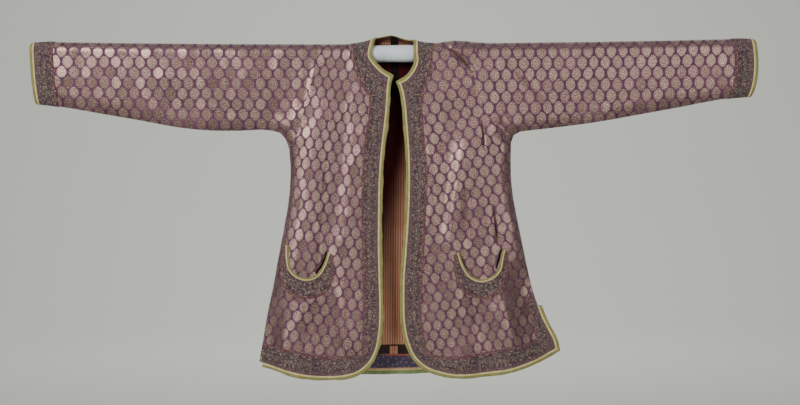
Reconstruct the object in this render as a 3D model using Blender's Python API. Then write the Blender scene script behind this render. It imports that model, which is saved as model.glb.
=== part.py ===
# A short lined coat with long straight sleeves, hung on a padded rod: brocade fronts, back and sleeves,
# woven borders, piping and bound edges. Metres, X to the right, Y away from the front, Z up. The origin is
# the middle of the rod's axis. Left and right are the viewer's. Sizes below are in millimetres.
import math

import bmesh
import bpy
import numpy as np
from mathutils import Vector
from mathutils.geometry import delaunay_2d_cdt

MM = 0.001

# Cloth, trims and the gaps between pieces
CLOTH = 2.0
TRIM = 1.0
LINING = 0.8
GAP = 0.3
HALF_GAP = GAP / 2
BINDING = 7.7
HEM_BINDING = 11.7
PIPING = 2.6
CUFF_BAND = 42.0
POCKET_LIP = 5.0

# The rod and how the cloth sits on it
ROD_RADIUS = 19.5
ROD_HALF = 768.0
ROD_MIDDLE = 110.0
ROD_SIDES = 28
ROD_STEPS = 7
ROD_RISE = 9.0
ROD_RISE_AT = 820.0
SEAT = 22.0
ARC = SEAT * math.pi / 2
ARC_STEPS = 6

# Rounding of the sleeve's underside and side seams, and how wide a flat slit edge blends into the body
FOLD_ROUND = 30.0
FLAT_BLEND = 80.0

# Mesh steps
FRONT_STEP = 33.0
BACK_STEP = 44.0
EDGE_STEP = 27.0
NECK_STEP = 13.0
BACK_NECK_STEP = 5.0
SLEEVE_RINGS = 12

# How far behind the rod's axis the neck edge stands in the middle
NECK_STAND = 18.0

# Height of the cloth above the rod's axis along the shoulders: x, height
RIDGE = [
    (-840, 15), (-806, 20.5), (-790, 22), (-112, 22), (-98, 22.6), (-75, 25.5), (-55, 31), (-42, 35.5),
    (-34, 40), (-20, 46), (-9, 50.5), (2, 49), (12, 44), (25, 37), (42, 31), (55, 27.5), (80, 23.5),
    (96, 24), (114, 26.5), (130, 28.8), (157, 28.2), (189, 24.8), (215, 23), (260, 22.8), (470, 22.3),
    (560, 22), (790, 22), (806, 20.5), (840, 15),
]

# Half depth of the hung cloth: height, front, back, sleeve
DEPTH = [
    (-780, 37, 28, 15), (-620, 34, 26, 15), (-500, 31, 24.5, 15), (-350, 28, 24, 15), (-200, 26, 25, 15),
    (-140, 25, 25.5, 15.5), (-100, 24.5, 26, 18.5), (-60, 24, 26, 21.5), (0, 24, 26, 22.4), (60, 24, 26, 22.4),
]

# Large folds, top to bottom: height, x, how far it stands out, half width
FRONT_FOLDS = [
    [(-150, -185, 0, 17), (-300, -214, 5, 22), (-450, -228, 6, 24), (-640, -266, 8, 26), (-780, -288, 8, 28)],
    [(-180, -150, 0, 18), (-300, -152, -3, 24), (-500, -152, -5, 28), (-780, -152, -6, 32)],
    [(-90, -88, 0, 18), (-200, -98, 3, 20), (-417, -121, 5, 24), (-780, -100, 6, 26)],
    [(-340, -183, 0, 15), (-420, -190, 3, 18), (-620, -206, 4, 20), (-780, -214, 4, 22)],
    [(-180, 168, 0, 17), (-251, 153, 4, 22), (-411, 125, 5, 24), (-607, 137, 6, 26), (-780, 140, 6, 28)],
    [(-160, 186, 0, 16), (-221, 187, 4, 20), (-395, 208, 5, 22), (-630, 245, 8, 26), (-780, 268, 9, 28)],
    [(-300, 178, 0, 18), (-420, 166, -3, 22), (-620, 190, -5, 26), (-780, 202, -6, 28)],
]
BACK_FOLDS = [
    [(-220, -120, 0, 32), (-450, -138, 4, 38), (-780, -165, 8, 44)],
    [(-260, -40, 0, 30), (-500, -48, -2, 34), (-780, -56, -4, 42)],
    [(-240, 40, 0, 30), (-450, 52, 3, 34), (-780, 62, 6, 42)],
    [(-220, 130, 0, 32), (-450, 150, -3, 36), (-780, 176, -5, 42)],
    [(-300, 205, 0, 30), (-500, 226, 4, 34), (-780, 262, 8, 40)],
]

# Sleeve underside and side seam, from the cuff down past the hem: x, height
LEFT_SIDE = [
    (-840, -107), (-757, -118), (-673, -133), (-582, -149), (-491, -166), (-425, -173), (-354, -174),
    (-280, -174), (-262, -179), (-249, -193), (-241, -216), (-238, -255), (-239.5, -298), (-244, -343),
    (-252.5, -389), (-261, -434), (-270, -480), (-278, -525), (-288, -571), (-296.5, -616), (-303, -658),
    (-305.5, -684), (-303.5, -704), (-302, -770),
]
RIGHT_SIDE = [
    (840, -98), (740, -108), (649, -125), (558, -141), (466, -157), (375, -169), (310, -176), (285, -179),
    (271, -187), (265, -203), (264, -243), (265.5, -300), (272, -346), (281, -392), (290, -437), (299, -483),
    (308.5, -526), (317, -556), (325.3, -577.3), (345, -632), (362, -690), (376, -770),
]

# Armhole seams: x, height, from the shoulder to the underarm
LEFT_ARMHOLE = [(-173, 0), (-183, -42), (-196, -94), (-211, -151), (-224, -188), (-252, -230)]
RIGHT_ARMHOLE = [(186, 0), (178, -37), (187, -83), (199, -124), (218, -152), (258, -184), (292, -214)]

# Finished edges: x, height. Each list is a smooth run, and the runs of one edge meet at corners
LEFT_NECK = [(-39, 36), (-43, 30), (-46, 18), (-48.5, 9), (-50.2, -6), (-42.3, -19), (-29.8, -33), (-2.6, -52)]
LEFT_OPENING = [
    (-2.6, -52), (-6.5, -72), (-9.3, -107), (-13, -150), (-21, -215), (-26.7, -288), (-28.5, -367),
    (-29.2, -447), (-28, -511), (-26.7, -575), (-30, -638), (-37, -671), (-53, -703), (-79, -725),
    (-112, -736), (-155, -740), (-197, -737), (-239, -729), (-272, -720), (-304, -712),
]
RIGHT_NECK = [(41, 31), (42.4, 24), (42.7, 14), (42.8, 0), (44, -19), (36.5, -38), (24.8, -52), (2.4, -65.5)]
RIGHT_OPENING = [
    (2.4, -65.5), (9, -84), (13.3, -104), (18.3, -157), (22.7, -219), (24.1, -288), (22, -352), (15.7, -447),
    (10.8, -511), (9.8, -561), (11.2, -607), (20.5, -656), (36.2, -691), (64.4, -717), (103, -731),
    (149, -736.5), (205, -732.5), (254, -724.5), (292, -714), (324, -702.5), (350, -690), (373.5, -677),
]
RIGHT_SLIT = [(373.5, -677), (368, -652), (357.5, -629.5), (349, -613), (340.5, -595), (333, -574.5)]
# The back of the neck: x, degrees over the rod
BACK_NECK = [
    (-39, 90), (-38.6, 85), (-37, 79.5), (-33, 75), (-27, 71.5), (-20, 68), (-9, 63), (4, 61.5), (15, 65),
    (25, 70.5), (33, 75), (38, 79.5), (40.4, 85), (41, 90),
]
BACK_HEM = [
    (-312, -701), (-250, -714), (-155, -727), (-70, -733), (0, -733.5), (64, -732), (150, -726), (250, -712),
    (342, -690),
]
BACK_SLIT = [(342, -690), (340, -650), (337, -612), (333, -574.5)]
BACK_LEFT_TOP = (-299.8, -637)
LEFT_CUFF = [(-826, 31), (-826, 10), (-825, -10), (-822.5, -55), (-819, -90), (-816, -130)]
RIGHT_CUFF = [(819, 31), (821, 10), (823.5, -18), (823.2, -46), (818, -82), (806, -120)]

# Inner edges of the woven border: x, height
LEFT_BORDER = [
    [(-99, 22), (-98, 12), (-94, -15), (-89, -39), (-75, -74), (-57.5, -99)],
    [(-57.5, -99), (-57.5, -128), (-68, -195), (-74, -265), (-75, -450), (-74, -600), (-77, -682)],
    [(-77, -682), (-148, -685), (-200, -678), (-250, -667), (-305.4, -658)],
]
RIGHT_BORDER = [
    [(89, 22), (88, 14), (86, -15), (85, -39), (71, -68), (62, -103)],
    [(62, -103), (63, -140), (67, -200), (73, -272), (70, -350), (66, -430), (60, -540), (59, -612), (72, -680)],
    [(72, -680), (110, -686), (150, -685), (194, -679), (239, -669), (287, -660), (319, -650)],
    [(319, -650), (309, -612), (302, -582), (301, -560), (315, -541)],
]
BACK_BORDER = 38.0

# Pocket mouths: x, height, then the lower edge of the border below each
LEFT_POCKET = [(-247.5, -434), (-247, -462), (-241, -489), (-224, -507), (-197, -514), (-173, -504), (-158, -482),
               (-147, -451)]
LEFT_POCKET_BAND = [(-254, -437), (-258, -475), (-257, -515), (-240, -543), (-200, -555), (-162, -546),
                    (-142, -515), (-140.5, -458)]
RIGHT_POCKET = [(138.5, -453), (151, -488), (167, -510), (193, -519.5), (222, -510), (237, -493), (243, -468),
                (247.5, -447)]
RIGHT_POCKET_BAND = [(132, -458), (135, -510), (153, -541), (193, -558), (232, -546), (251, -515), (255, -480),
                     (253.5, -450)]

# Inside of the back, seen through the opening: half width, top and bottom heights
LINING_HALF = 108.0
NECK_LINING_HALF = 33.0
LINING_TOP = -8.0
LINING_FOOT = -664.0
BAND_TOP = -665.2
BAND_FOOT = -686.5
FACING_TOP = -687.7
TAPE_HALF = 9.0
TAPE_FOOT = -96.0

COLOURS = {
    "brocade": (0.30, 0.19, 0.24, 1),
    "border": (0.16, 0.14, 0.14, 1),
    "binding": (0.28, 0.33, 0.10, 1),
    "piping": (0.60, 0.54, 0.22, 1),
    "lining": (0.45, 0.17, 0.09, 1),
    "black": (0.01, 0.008, 0.01, 1),
    "facing": (0.04, 0.03, 0.10, 1),
    "muslin": (0.62, 0.67, 0.74, 1),
}


def smooth(low, high, at):
    t = np.clip((np.asarray(at, float) - low) / (high - low), 0, 1)
    return t * t * (3 - 2 * t)


def column(table, at, index):
    rows = sorted(table)
    return np.interp(at, [row[0] for row in rows], [row[index] for row in rows])


def rod_rise(x):
    return ROD_RISE * (np.asarray(x, float) / ROD_RISE_AT) ** 2


def curve(points, step):
    """A smooth line through the points, with a point about every step."""
    p = np.array(points, float)
    lengths = np.linalg.norm(np.diff(p, axis=0), axis=1)
    t = np.concatenate([[0], np.cumsum(lengths)])
    slope = np.gradient(p, t, axis=0)
    out = []
    for i, length in enumerate(lengths):
        for u in np.arange(max(1, round(length / step))) / max(1, round(length / step)):
            a = (2 * u**3 - 3 * u**2 + 1) * p[i] + (u**3 - 2 * u**2 + u) * length * slope[i]
            b = (3 * u**2 - 2 * u**3) * p[i + 1] + (u**3 - u**2) * length * slope[i + 1]
            out.append(a + b)
    return np.array(out + [p[-1]])


SIDES = {-1: curve(LEFT_SIDE, EDGE_STEP), 1: curve(RIGHT_SIDE, EDGE_STEP)}
SHOULDERS = curve([row for row in RIDGE if abs(row[0]) < 300], 4)
SHOULDERS = [row for row in RIDGE if abs(row[0]) >= 300] + [tuple(row) for row in SHOULDERS]


def in_polygon(points, polygon):
    x, y = points[:, 0], points[:, 1]
    inside = np.zeros(len(points), bool)
    for (ax, ay), (bx, by) in zip(polygon, np.roll(polygon, -1, axis=0)):
        crosses = (ay > y) != (by > y)
        inside ^= crosses & (x < (bx - ax) * (y - ay) / (by - ay + 1e-12) + ax)
    return inside


def line_distance(points, line):
    a, b = line[:-1], line[1:]
    along = b - a
    t = ((points[:, None] - a) * along).sum(-1) / np.maximum((along**2).sum(-1), 1e-12)
    nearest = a + np.clip(t, 0, 1)[..., None] * along
    return np.linalg.norm(points[:, None] - nearest, axis=-1).min(1)


def side_distance(x, z):
    """How far a point lies inside the sleeve's underside and the side seam. Negative is outside."""
    points = np.stack([x, z], -1)
    distance = np.full(len(points), 400.0)
    for sign, line in SIDES.items():
        own = np.sign(x) == sign
        if own.any():
            closed = np.concatenate([line, [[line[-1, 0], -1000], [0, -1000], [0, 200], [sign * 900, 200]]])
            inside = in_polygon(points[own], closed)
            distance[own] = np.where(inside, 1, -1) * line_distance(points[own], line)
    return distance


def fold_sum(x, z, folds):
    total = np.zeros(len(x))
    for fold in folds:
        centre, height, width = (column(fold, z, k) for k in (1, 2, 3))
        total += height * np.exp(-(((x - centre) / width) ** 2))
    return total


def half_depth(x, drop, z, side):
    """Half depth of the hung cloth at a place, from the middle plane to the outside of the wall."""
    body = column(DEPTH, -drop, 1 if side < 0 else 2)
    body = body + fold_sum(x, -drop, FRONT_FOLDS if side < 0 else BACK_FOLDS)
    sleeve = column(DEPTH, -drop, 3)
    share = smooth(195, 285, np.abs(x)) * smooth(-235, -175, z)
    full = body + (sleeve - body) * share
    inside = side_distance(x, z)
    t = np.clip(inside / FOLD_ROUND, 0, 1)
    rounded = HALF_GAP + (full - HALF_GAP) * np.sqrt(1 - (1 - t) ** 2)
    flat_share = np.where(x < 0, 1 - smooth(-625, -520, z), 1 - smooth(-540, -430, z))
    open_left = 2.5 * smooth(640, 705, -z)
    open_right = (10 if side < 0 else 5) * smooth(560, 680, -z)
    edge = CLOTH + HALF_GAP + np.where(x < 0, open_left, open_right)
    flat = edge + (full - edge) * (1 - np.cos(math.pi * np.clip(inside / FLAT_BLEND, 0, 1))) / 2
    return rounded + (flat - rounded) * flat_share


def wall(x, w, side):
    """The outside of the cloth. w is the way down from the rod's axis, and below 0 the way over the rod."""
    x, w = np.asarray(x, float), np.asarray(w, float)
    over = w < 0
    angle = np.where(over, -w / ARC * math.pi / 2, 0)
    ridge = column(SHOULDERS, x, 1)
    stand = NECK_STAND * (1 - smooth(4, 44, np.abs(x))) * np.where(side > 0, 1, 0)
    drop = np.maximum(w, 0)
    z = np.where(over, ridge * np.sin(angle), -drop)
    depth = half_depth(x, drop, z + rod_rise(x), side)
    y = HALF_GAP + stand + (depth - HALF_GAP - stand) * np.cos(angle)
    return np.stack([x, side * y, z + rod_rise(x)], -1)


def wall_normal(x, w, side):
    h = 1.5
    across = wall(x + h, w, side) - wall(x - h, w, side)
    down = wall(x, w + h, side) - wall(x, w - h, side)
    normal = np.cross(across, down) * side
    normal[np.asarray(w) <= -ARC + 0.01, 1] = 0
    return normal / np.linalg.norm(normal, axis=1)[:, None]


def lift(x, w, side, level):
    """A point of the wall moved out by level, and never across the middle plane."""
    x, w = np.asarray(x, float), np.asarray(w, float)
    point = wall(x, w, side) + wall_normal(x, w, side) * level
    point[:, 1] = side * np.maximum(side * point[:, 1], HALF_GAP)
    return point


def cloth_w(x, z):
    """The way down or over for heights on the wall."""
    x, z = np.asarray(x, float), np.asarray(z, float)
    own = z - rod_rise(x)
    over = np.arcsin(np.clip(own / column(SHOULDERS, x, 1), 0, 1))
    return np.where(own < 0, -own, -ARC * over / (math.pi / 2))


def on_cloth(points):
    points = np.asarray(points, float)
    return np.stack([points[:, 0], cloth_w(points[:, 0], points[:, 1])], -1)


def edge_path(runs, to_ridge=(False, False)):
    """The finished edge on the cloth, and for each point the way into the cloth with its mitre."""
    pieces = [on_cloth(curve(run, step)) if step else np.array(run, float) for run, step in runs]
    path = np.concatenate([piece[(i > 0):] for i, piece in enumerate(pieces)])
    for end, wanted in zip((0, -1), to_ridge):
        if wanted:
            path[end, 1] = -ARC
    along = np.diff(path, axis=0)
    along /= np.linalg.norm(along, axis=1)[:, None]
    normal = np.stack([-along[:, 1], along[:, 0]], -1)
    before, after = normal[[0] + list(range(len(normal)))], normal[list(range(len(normal))) + [-1]]
    inward = (before + after) / (1 + (before * after).sum(1))[:, None]
    for end, wanted in zip((0, -1), to_ridge):
        if wanted:
            inward[end] = [1 / inward[end, 0], 0]
    return path, inward


def shifted(path, inward, distance):
    return path + inward * distance


def far_in(path, inward, distance):
    """The edge moved far in, without the points that cross over at its corners."""
    moved = shifted(path, inward, distance)
    clear = line_distance(moved, path) > distance - 1
    clear[[0, -1]] = True
    return moved[clear]


def cut(outline, lines, step):
    """Triangles over a cut piece: its outline, lines that its seams and trims need, and points between."""
    rings = [np.asarray(outline)] + [np.asarray(line) for line in lines]
    points, edges = [], []
    for i, ring in enumerate(rings):
        start = len(points)
        points += [tuple(p) for p in ring]
        edges += [(start + k, start + k + 1) for k in range(len(ring) - 1)]
        if i == 0:
            edges.append((start + len(ring) - 1, start))
    low, high = rings[0].min(0), rings[0].max(0)
    rows = np.arange(low[1] + step * 0.4, high[1], step * 0.87)
    grid = [(x + (k % 2) * step / 2, w) for k, w in enumerate(rows) for x in np.arange(low[0], high[0], step)]
    grid = np.array(grid)
    grid = grid[in_polygon(grid, rings[0])]
    closed = [np.concatenate([rings[0], rings[0][:1]])] + rings[1:]
    near = np.min([line_distance(grid, ring) for ring in closed], axis=0)
    points += [tuple(p) for p in grid[near > 0.6 * step]]
    made = delaunay_2d_cdt([Vector(p) for p in points], edges, [], 0, 1e-4)
    flat = np.array([tuple(v) for v in made[0]])
    triangles = np.array([tuple(f) for f in made[2] if len(f) == 3])
    return flat, triangles[in_polygon(flat[triangles].mean(1), rings[0])]


def material(name):
    found = bpy.data.materials.new(name)
    found.use_nodes = True
    shader = found.node_tree.nodes["Principled BSDF"]
    shader.inputs["Base Color"].default_value = COLOURS[name.split("_")[0]]
    shader.inputs["Roughness"].default_value = 0.7
    found.diffuse_color = COLOURS[name.split("_")[0]]
    return found


def solid(collection, name, look, points, faces):
    mesh = bpy.data.meshes.new(name)
    mesh.from_pydata([tuple(p * MM) for p in points], [], [tuple(map(int, f)) for f in faces])
    shape = bmesh.new()
    shape.from_mesh(mesh)
    bmesh.ops.triangulate(shape, faces=shape.faces[:])
    bmesh.ops.recalc_face_normals(shape, faces=shape.faces[:])
    if shape.calc_volume(signed=True) < 0:
        bmesh.ops.reverse_faces(shape, faces=shape.faces[:])
    shape.to_mesh(mesh)
    shape.free()
    piece = bpy.data.objects.new(name, mesh)
    piece.data.materials.append(material(look + "_" + name))
    collection.objects.link(piece)
    return piece


def sheet(collection, name, look, flat, triangles, side, low, high):
    """A wall between two levels over some of a piece's triangles."""
    used, numbered = np.unique(triangles, return_inverse=True)
    triangles = numbered.reshape(-1, 3)
    x, w = flat[used, 0], flat[used, 1]
    points = np.concatenate([lift(x, w, side, high), lift(x, w, side, low)])
    count = len(used)
    faces = [tuple(t) for t in triangles] + [tuple(t[::-1] + count) for t in triangles]
    directed = {(a, b) for t in triangles for a, b in zip(t, np.roll(t, -1))}
    faces += [(b, a, a + count, b + count) for a, b in directed if (b, a) not in directed]
    return solid(collection, name, look, points, faces)


def sweep(collection, name, look, rings, closed):
    """A strip through rings of points, closed on itself or with flat ends."""
    rings = np.asarray(rings)
    many, around = rings.shape[:2]
    faces = []
    for i in range(many if closed else many - 1):
        for k in range(around):
            a, b = i * around, (i + 1) % many * around
            nxt = (k + 1) % around
            faces.append((a + k, a + nxt, b + nxt, b + k))
    if not closed:
        faces += [tuple(range(around)), tuple(range((many - 1) * around, many * around))[::-1]]
    return solid(collection, name, look, rings.reshape(-1, 3), faces)


# Sections of the trims: way in from the finished edge, level out from the cloth
def binding_section(width):
    return [(width, 1.7), (1.4, 1.7), (0, 0.4), (0, -1.1), (1.0, -2.0), (width, -2.0)]


def piping_section(start):
    return [(start, 0.5), (start + 0.5, 2.0), (start + 2.1, 2.0), (start + PIPING, 0.5)]


def edge_trim(collection, name, look, path, inward, section, side):
    rings = []
    for p, n in zip(path, inward):
        places = np.array([p + n * way for way, _ in section])
        levels = np.array([level for _, level in section])[:, None]
        point = wall(places[:, 0], places[:, 1], side) + levels * wall_normal(places[:, 0], places[:, 1], side)
        point[:, 1] = side * np.maximum(side * point[:, 1], HALF_GAP)
        rings.append(point)
    return sweep(collection, name, look, rings, False)


def trims(collection, label, path, inward, side, width):
    edge_trim(collection, "binding_" + label, "binding", path, inward, binding_section(width), side)
    edge_trim(collection, "piping_" + label, "piping", path, inward, piping_section(width + GAP), side)


def crossing(x_at, shift):
    """Where an armhole or cuff line meets the underside of the sleeve."""
    low, high = 60.0, 230.0
    for _ in range(40):
        middle = (low + high) / 2
        x = np.array([x_at(middle) + shift])
        if side_distance(x, rod_rise(x) - middle)[0] > 0:
            low = middle
        else:
            high = middle
    return low


def half_ring(x_at, shift):
    """Points down one side of the sleeve from the shoulder to the underside: x, w."""
    foot = crossing(x_at, shift)
    over = [-ARC + ARC * k / ARC_STEPS for k in range(ARC_STEPS + 1)]
    under = [foot - FOLD_ROUND * (1 - math.cos(a)) for a in np.radians([90, 60, 32, 0])]
    middle = [under[0] * share for share in (0.36, 0.7)]
    rows = np.array(over + middle + under)
    return np.stack([np.array([x_at(w) + shift for w in rows]), rows], -1)


def line_x(points):
    """x along a line for a way down, and straight over the shoulder."""
    path = on_cloth(curve(points, 12))
    order = np.argsort(path[:, 1])
    return lambda w: float(np.interp(w, path[order, 1], path[order, 0]))


def ring_points(half, level):
    """A whole ring round the sleeve at a level, from the shoulder down the front and up the back."""
    x, w = half[:, 0], half[:, 1]
    sides = []
    for side in (-1, 1):
        point, normal = wall(x, w, side), wall_normal(x, w, side)
        point[[0, -1], 1] = 0
        normal[[0, -1], 1] = 0
        normal /= np.linalg.norm(normal, axis=1)[:, None]
        sides.append(point + normal * level)
    return np.concatenate([sides[0], sides[1][-2:0:-1]])


def tube(collection, name, look, halves, low, high):
    """An open tube of cloth between two levels through rings."""
    outer = [ring_points(half, high) for half in halves]
    inner = [ring_points(half, low) for half in halves]
    around, many = len(outer[0]), len(halves)
    points = np.concatenate(outer + inner)
    faces = []
    for k in range(around):
        n = (k + 1) % around
        for i in range(many - 1):
            a, b = i * around, (i + 1) * around
            faces.append((a + k, a + n, b + n, b + k))
            faces.append((a + k + many * around, b + k + many * around, b + n + many * around, a + n + many * around))
        for ring in (0, many - 1):
            a = ring * around
            faces.append((a + k, a + n, a + n + many * around, a + k + many * around))
    return solid(collection, name, look, points, faces)


def build_sleeve(collection, label, armhole, cuff, out):
    arm_x, cuff_x = line_x(armhole), line_x(cuff)
    inner = BINDING + GAP
    border = inner + PIPING + 0.4
    halves = []
    for i in range(SLEEVE_RINGS + 1):
        share = i / SLEEVE_RINGS
        shift = (1 - share) * out * HALF_GAP - share * out * (border + CUFF_BAND)
        halves.append(half_ring(lambda w: arm_x(w) + (cuff_x(w) - arm_x(w)) * share, shift))
    cuffs = [half_ring(cuff_x, -out * way) for way in (border, inner)]
    tube(collection, "sleeve_" + label, "brocade", halves + cuffs, -CLOTH, 0)
    tube(collection, "border_cuff_" + label, "border", [halves[-1], cuffs[0]], GAP, GAP + TRIM)
    for name, section in (("binding", binding_section(BINDING)), ("piping", piping_section(inner))):
        rounds = [ring_points(half_ring(cuff_x, -out * way), level) for way, level in section]
        rings = np.stack(rounds, 1)
        sweep(collection, name + "_cuff_" + label, name, rings, True)
    return arm_x


def armhole_edge(arm_x, out):
    return half_ring(arm_x, -out * HALF_GAP)


def side_line(sign, start, foot):
    """The side seam on the cloth from the armhole's foot down to a height."""
    line = SIDES[sign]
    kept = line[(line[:, 1] < -start - 6) & (line[:, 1] > foot) & (np.abs(line[:, 0]) < 380)]
    return on_cloth(kept)


def pocket(collection, label, mouth, band, side=-1):
    """Lines that a pocket needs in its front, and a function that builds its trims."""
    path = on_cloth(curve(mouth, 14))
    along = np.gradient(path, axis=0)
    along /= np.linalg.norm(along, axis=1)[:, None]
    inward = np.stack([along[:, 1], -along[:, 0]], -1)
    if ((path.mean(0) - path) * inward).sum() < 0:
        inward = -inward
    top, foot = shifted(path, inward, PIPING + GAP + POCKET_LIP), shifted(path, inward, -0.6)
    lower = on_cloth(curve(band, 22))
    ring = np.concatenate([foot, lower[::-1]])

    def build(flat, triangles):
        inside = in_polygon(flat[triangles].mean(1), ring)
        sheet(collection, "pocket_border_" + label, "border", flat, triangles[inside], side, GAP, GAP + TRIM)
        start = PIPING + GAP
        lip = [(start, 0.6), (start, 1.9), (start + POCKET_LIP, 1.9), (start + POCKET_LIP, 0.6)]
        edge_trim(collection, "pocket_binding_" + label, "binding", path, inward, lip, side)
        edge_trim(collection, "pocket_piping_" + label, "piping", path, inward, piping_section(0), side)

    return [top, foot, np.concatenate([foot[:1], lower, foot[-1:]])], build


def shoulder_rows(xs, rim):
    """Lines across the shoulder where the cloth bends over the rod, up to the neck's rim."""
    rows = []
    order = np.argsort(rim[:, 0])
    for k in range(1, ARC_STEPS + 2):
        w = -ARC + ARC * k / ARC_STEPS
        if rim[:, 1].min() < -ARC + 1 and (rim[:, 0].min() > 0) != (rim[:, 0].max() < 0):
            limit = np.abs(rim[np.abs(rim[:, 1] - w) < 12, 0]).max(initial=0)
            own = [x for x in xs if abs(x) > limit + 6]
        else:
            edge = np.interp(xs, rim[order, 0], rim[order, 1], left=-100, right=-100)
            own = [x for x, at in zip(xs, edge) if w > at + 5]
        if len(own) > 1:
            rows.append(np.array([(x, w) for x in sorted(own)]))
    return rows


def build_front(collection, label, out, arm_x, edges, border, pocket_points):
    """One front: out is -1 at the left and 1 at the right."""
    path, inward = edge_path(edges, (True, False))
    if out > 0:
        inward = -inward
        inward[0] = [abs(inward[0, 0]), 0]
    else:
        inward[0] = [-abs(inward[0, 0]), 0]
    seam = armhole_edge(arm_x, out)
    side = side_line(out, seam[-1, 1], -703 if out < 0 else -572)
    if out < 0:
        inward[-1] = [0.0, -1.0]
    cloth = shifted(path, inward, BINDING + GAP)
    if out < 0:
        cloth[-1] = on_cloth([LEFT_SIDE[-2]])[0]
    rim = shifted(path, inward, BINDING + GAP + PIPING + 0.4)
    if out < 0:
        rim[-1] = on_cloth([(-304, -700.6)])[0]
    shoulder_x = np.linspace(seam[0, 0], cloth[0, 0], 7)[1:-1]
    corners = on_cloth([border[0][0]])[0, 0]
    shoulder_x[np.abs(shoulder_x - corners).argmin()] = corners
    shoulder = np.stack([shoulder_x, np.full(len(shoulder_x), -ARC)], -1)
    outline = np.concatenate([cloth, side[::-1], seam[::-1], shoulder])
    inner = [on_cloth(curve(run, EDGE_STEP)) for run in border]
    inner[0][0] = [corners, -ARC]
    band = np.concatenate([run[(i > 0):] for i, run in enumerate(inner)])
    lines = [rim, band] + shoulder_rows(shoulder_x, rim)
    closing = rim[-1:]
    if out > 0:
        closing = on_cloth([(318.6, -560), (325, -554)])
        lines.append(np.stack([rim[-1], closing[0]]))
    for inset in (3.5, 12.0, FOLD_ROUND):
        own = side[:-1] if out < 0 else side
        lines.append(np.stack([own[1:, 0] - out * inset, own[1:, 1]], -1))
    pocket_lines, build_pocket = pocket(collection, label, *pocket_points)
    lines += pocket_lines
    flat, triangles = cut(outline, lines, FRONT_STEP)
    sheet(collection, "front_" + label, "brocade", flat, triangles, -1, -CLOTH, 0)
    ring = np.concatenate([rim, closing, band[::-1]])
    inside = in_polygon(flat[triangles].mean(1), ring)
    sheet(collection, "border_front_" + label, "border", flat, triangles[inside], -1, GAP, GAP + TRIM)
    build_pocket(flat, triangles)
    trims(collection, "front_" + label, path, inward, -1, BINDING)


def straight(a, b, step):
    """Points along a straight line on the cloth, given as x and height."""
    count = max(2, round(math.dist(a, b) / step) + 1)
    return on_cloth(np.linspace(a, b, count))


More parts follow.
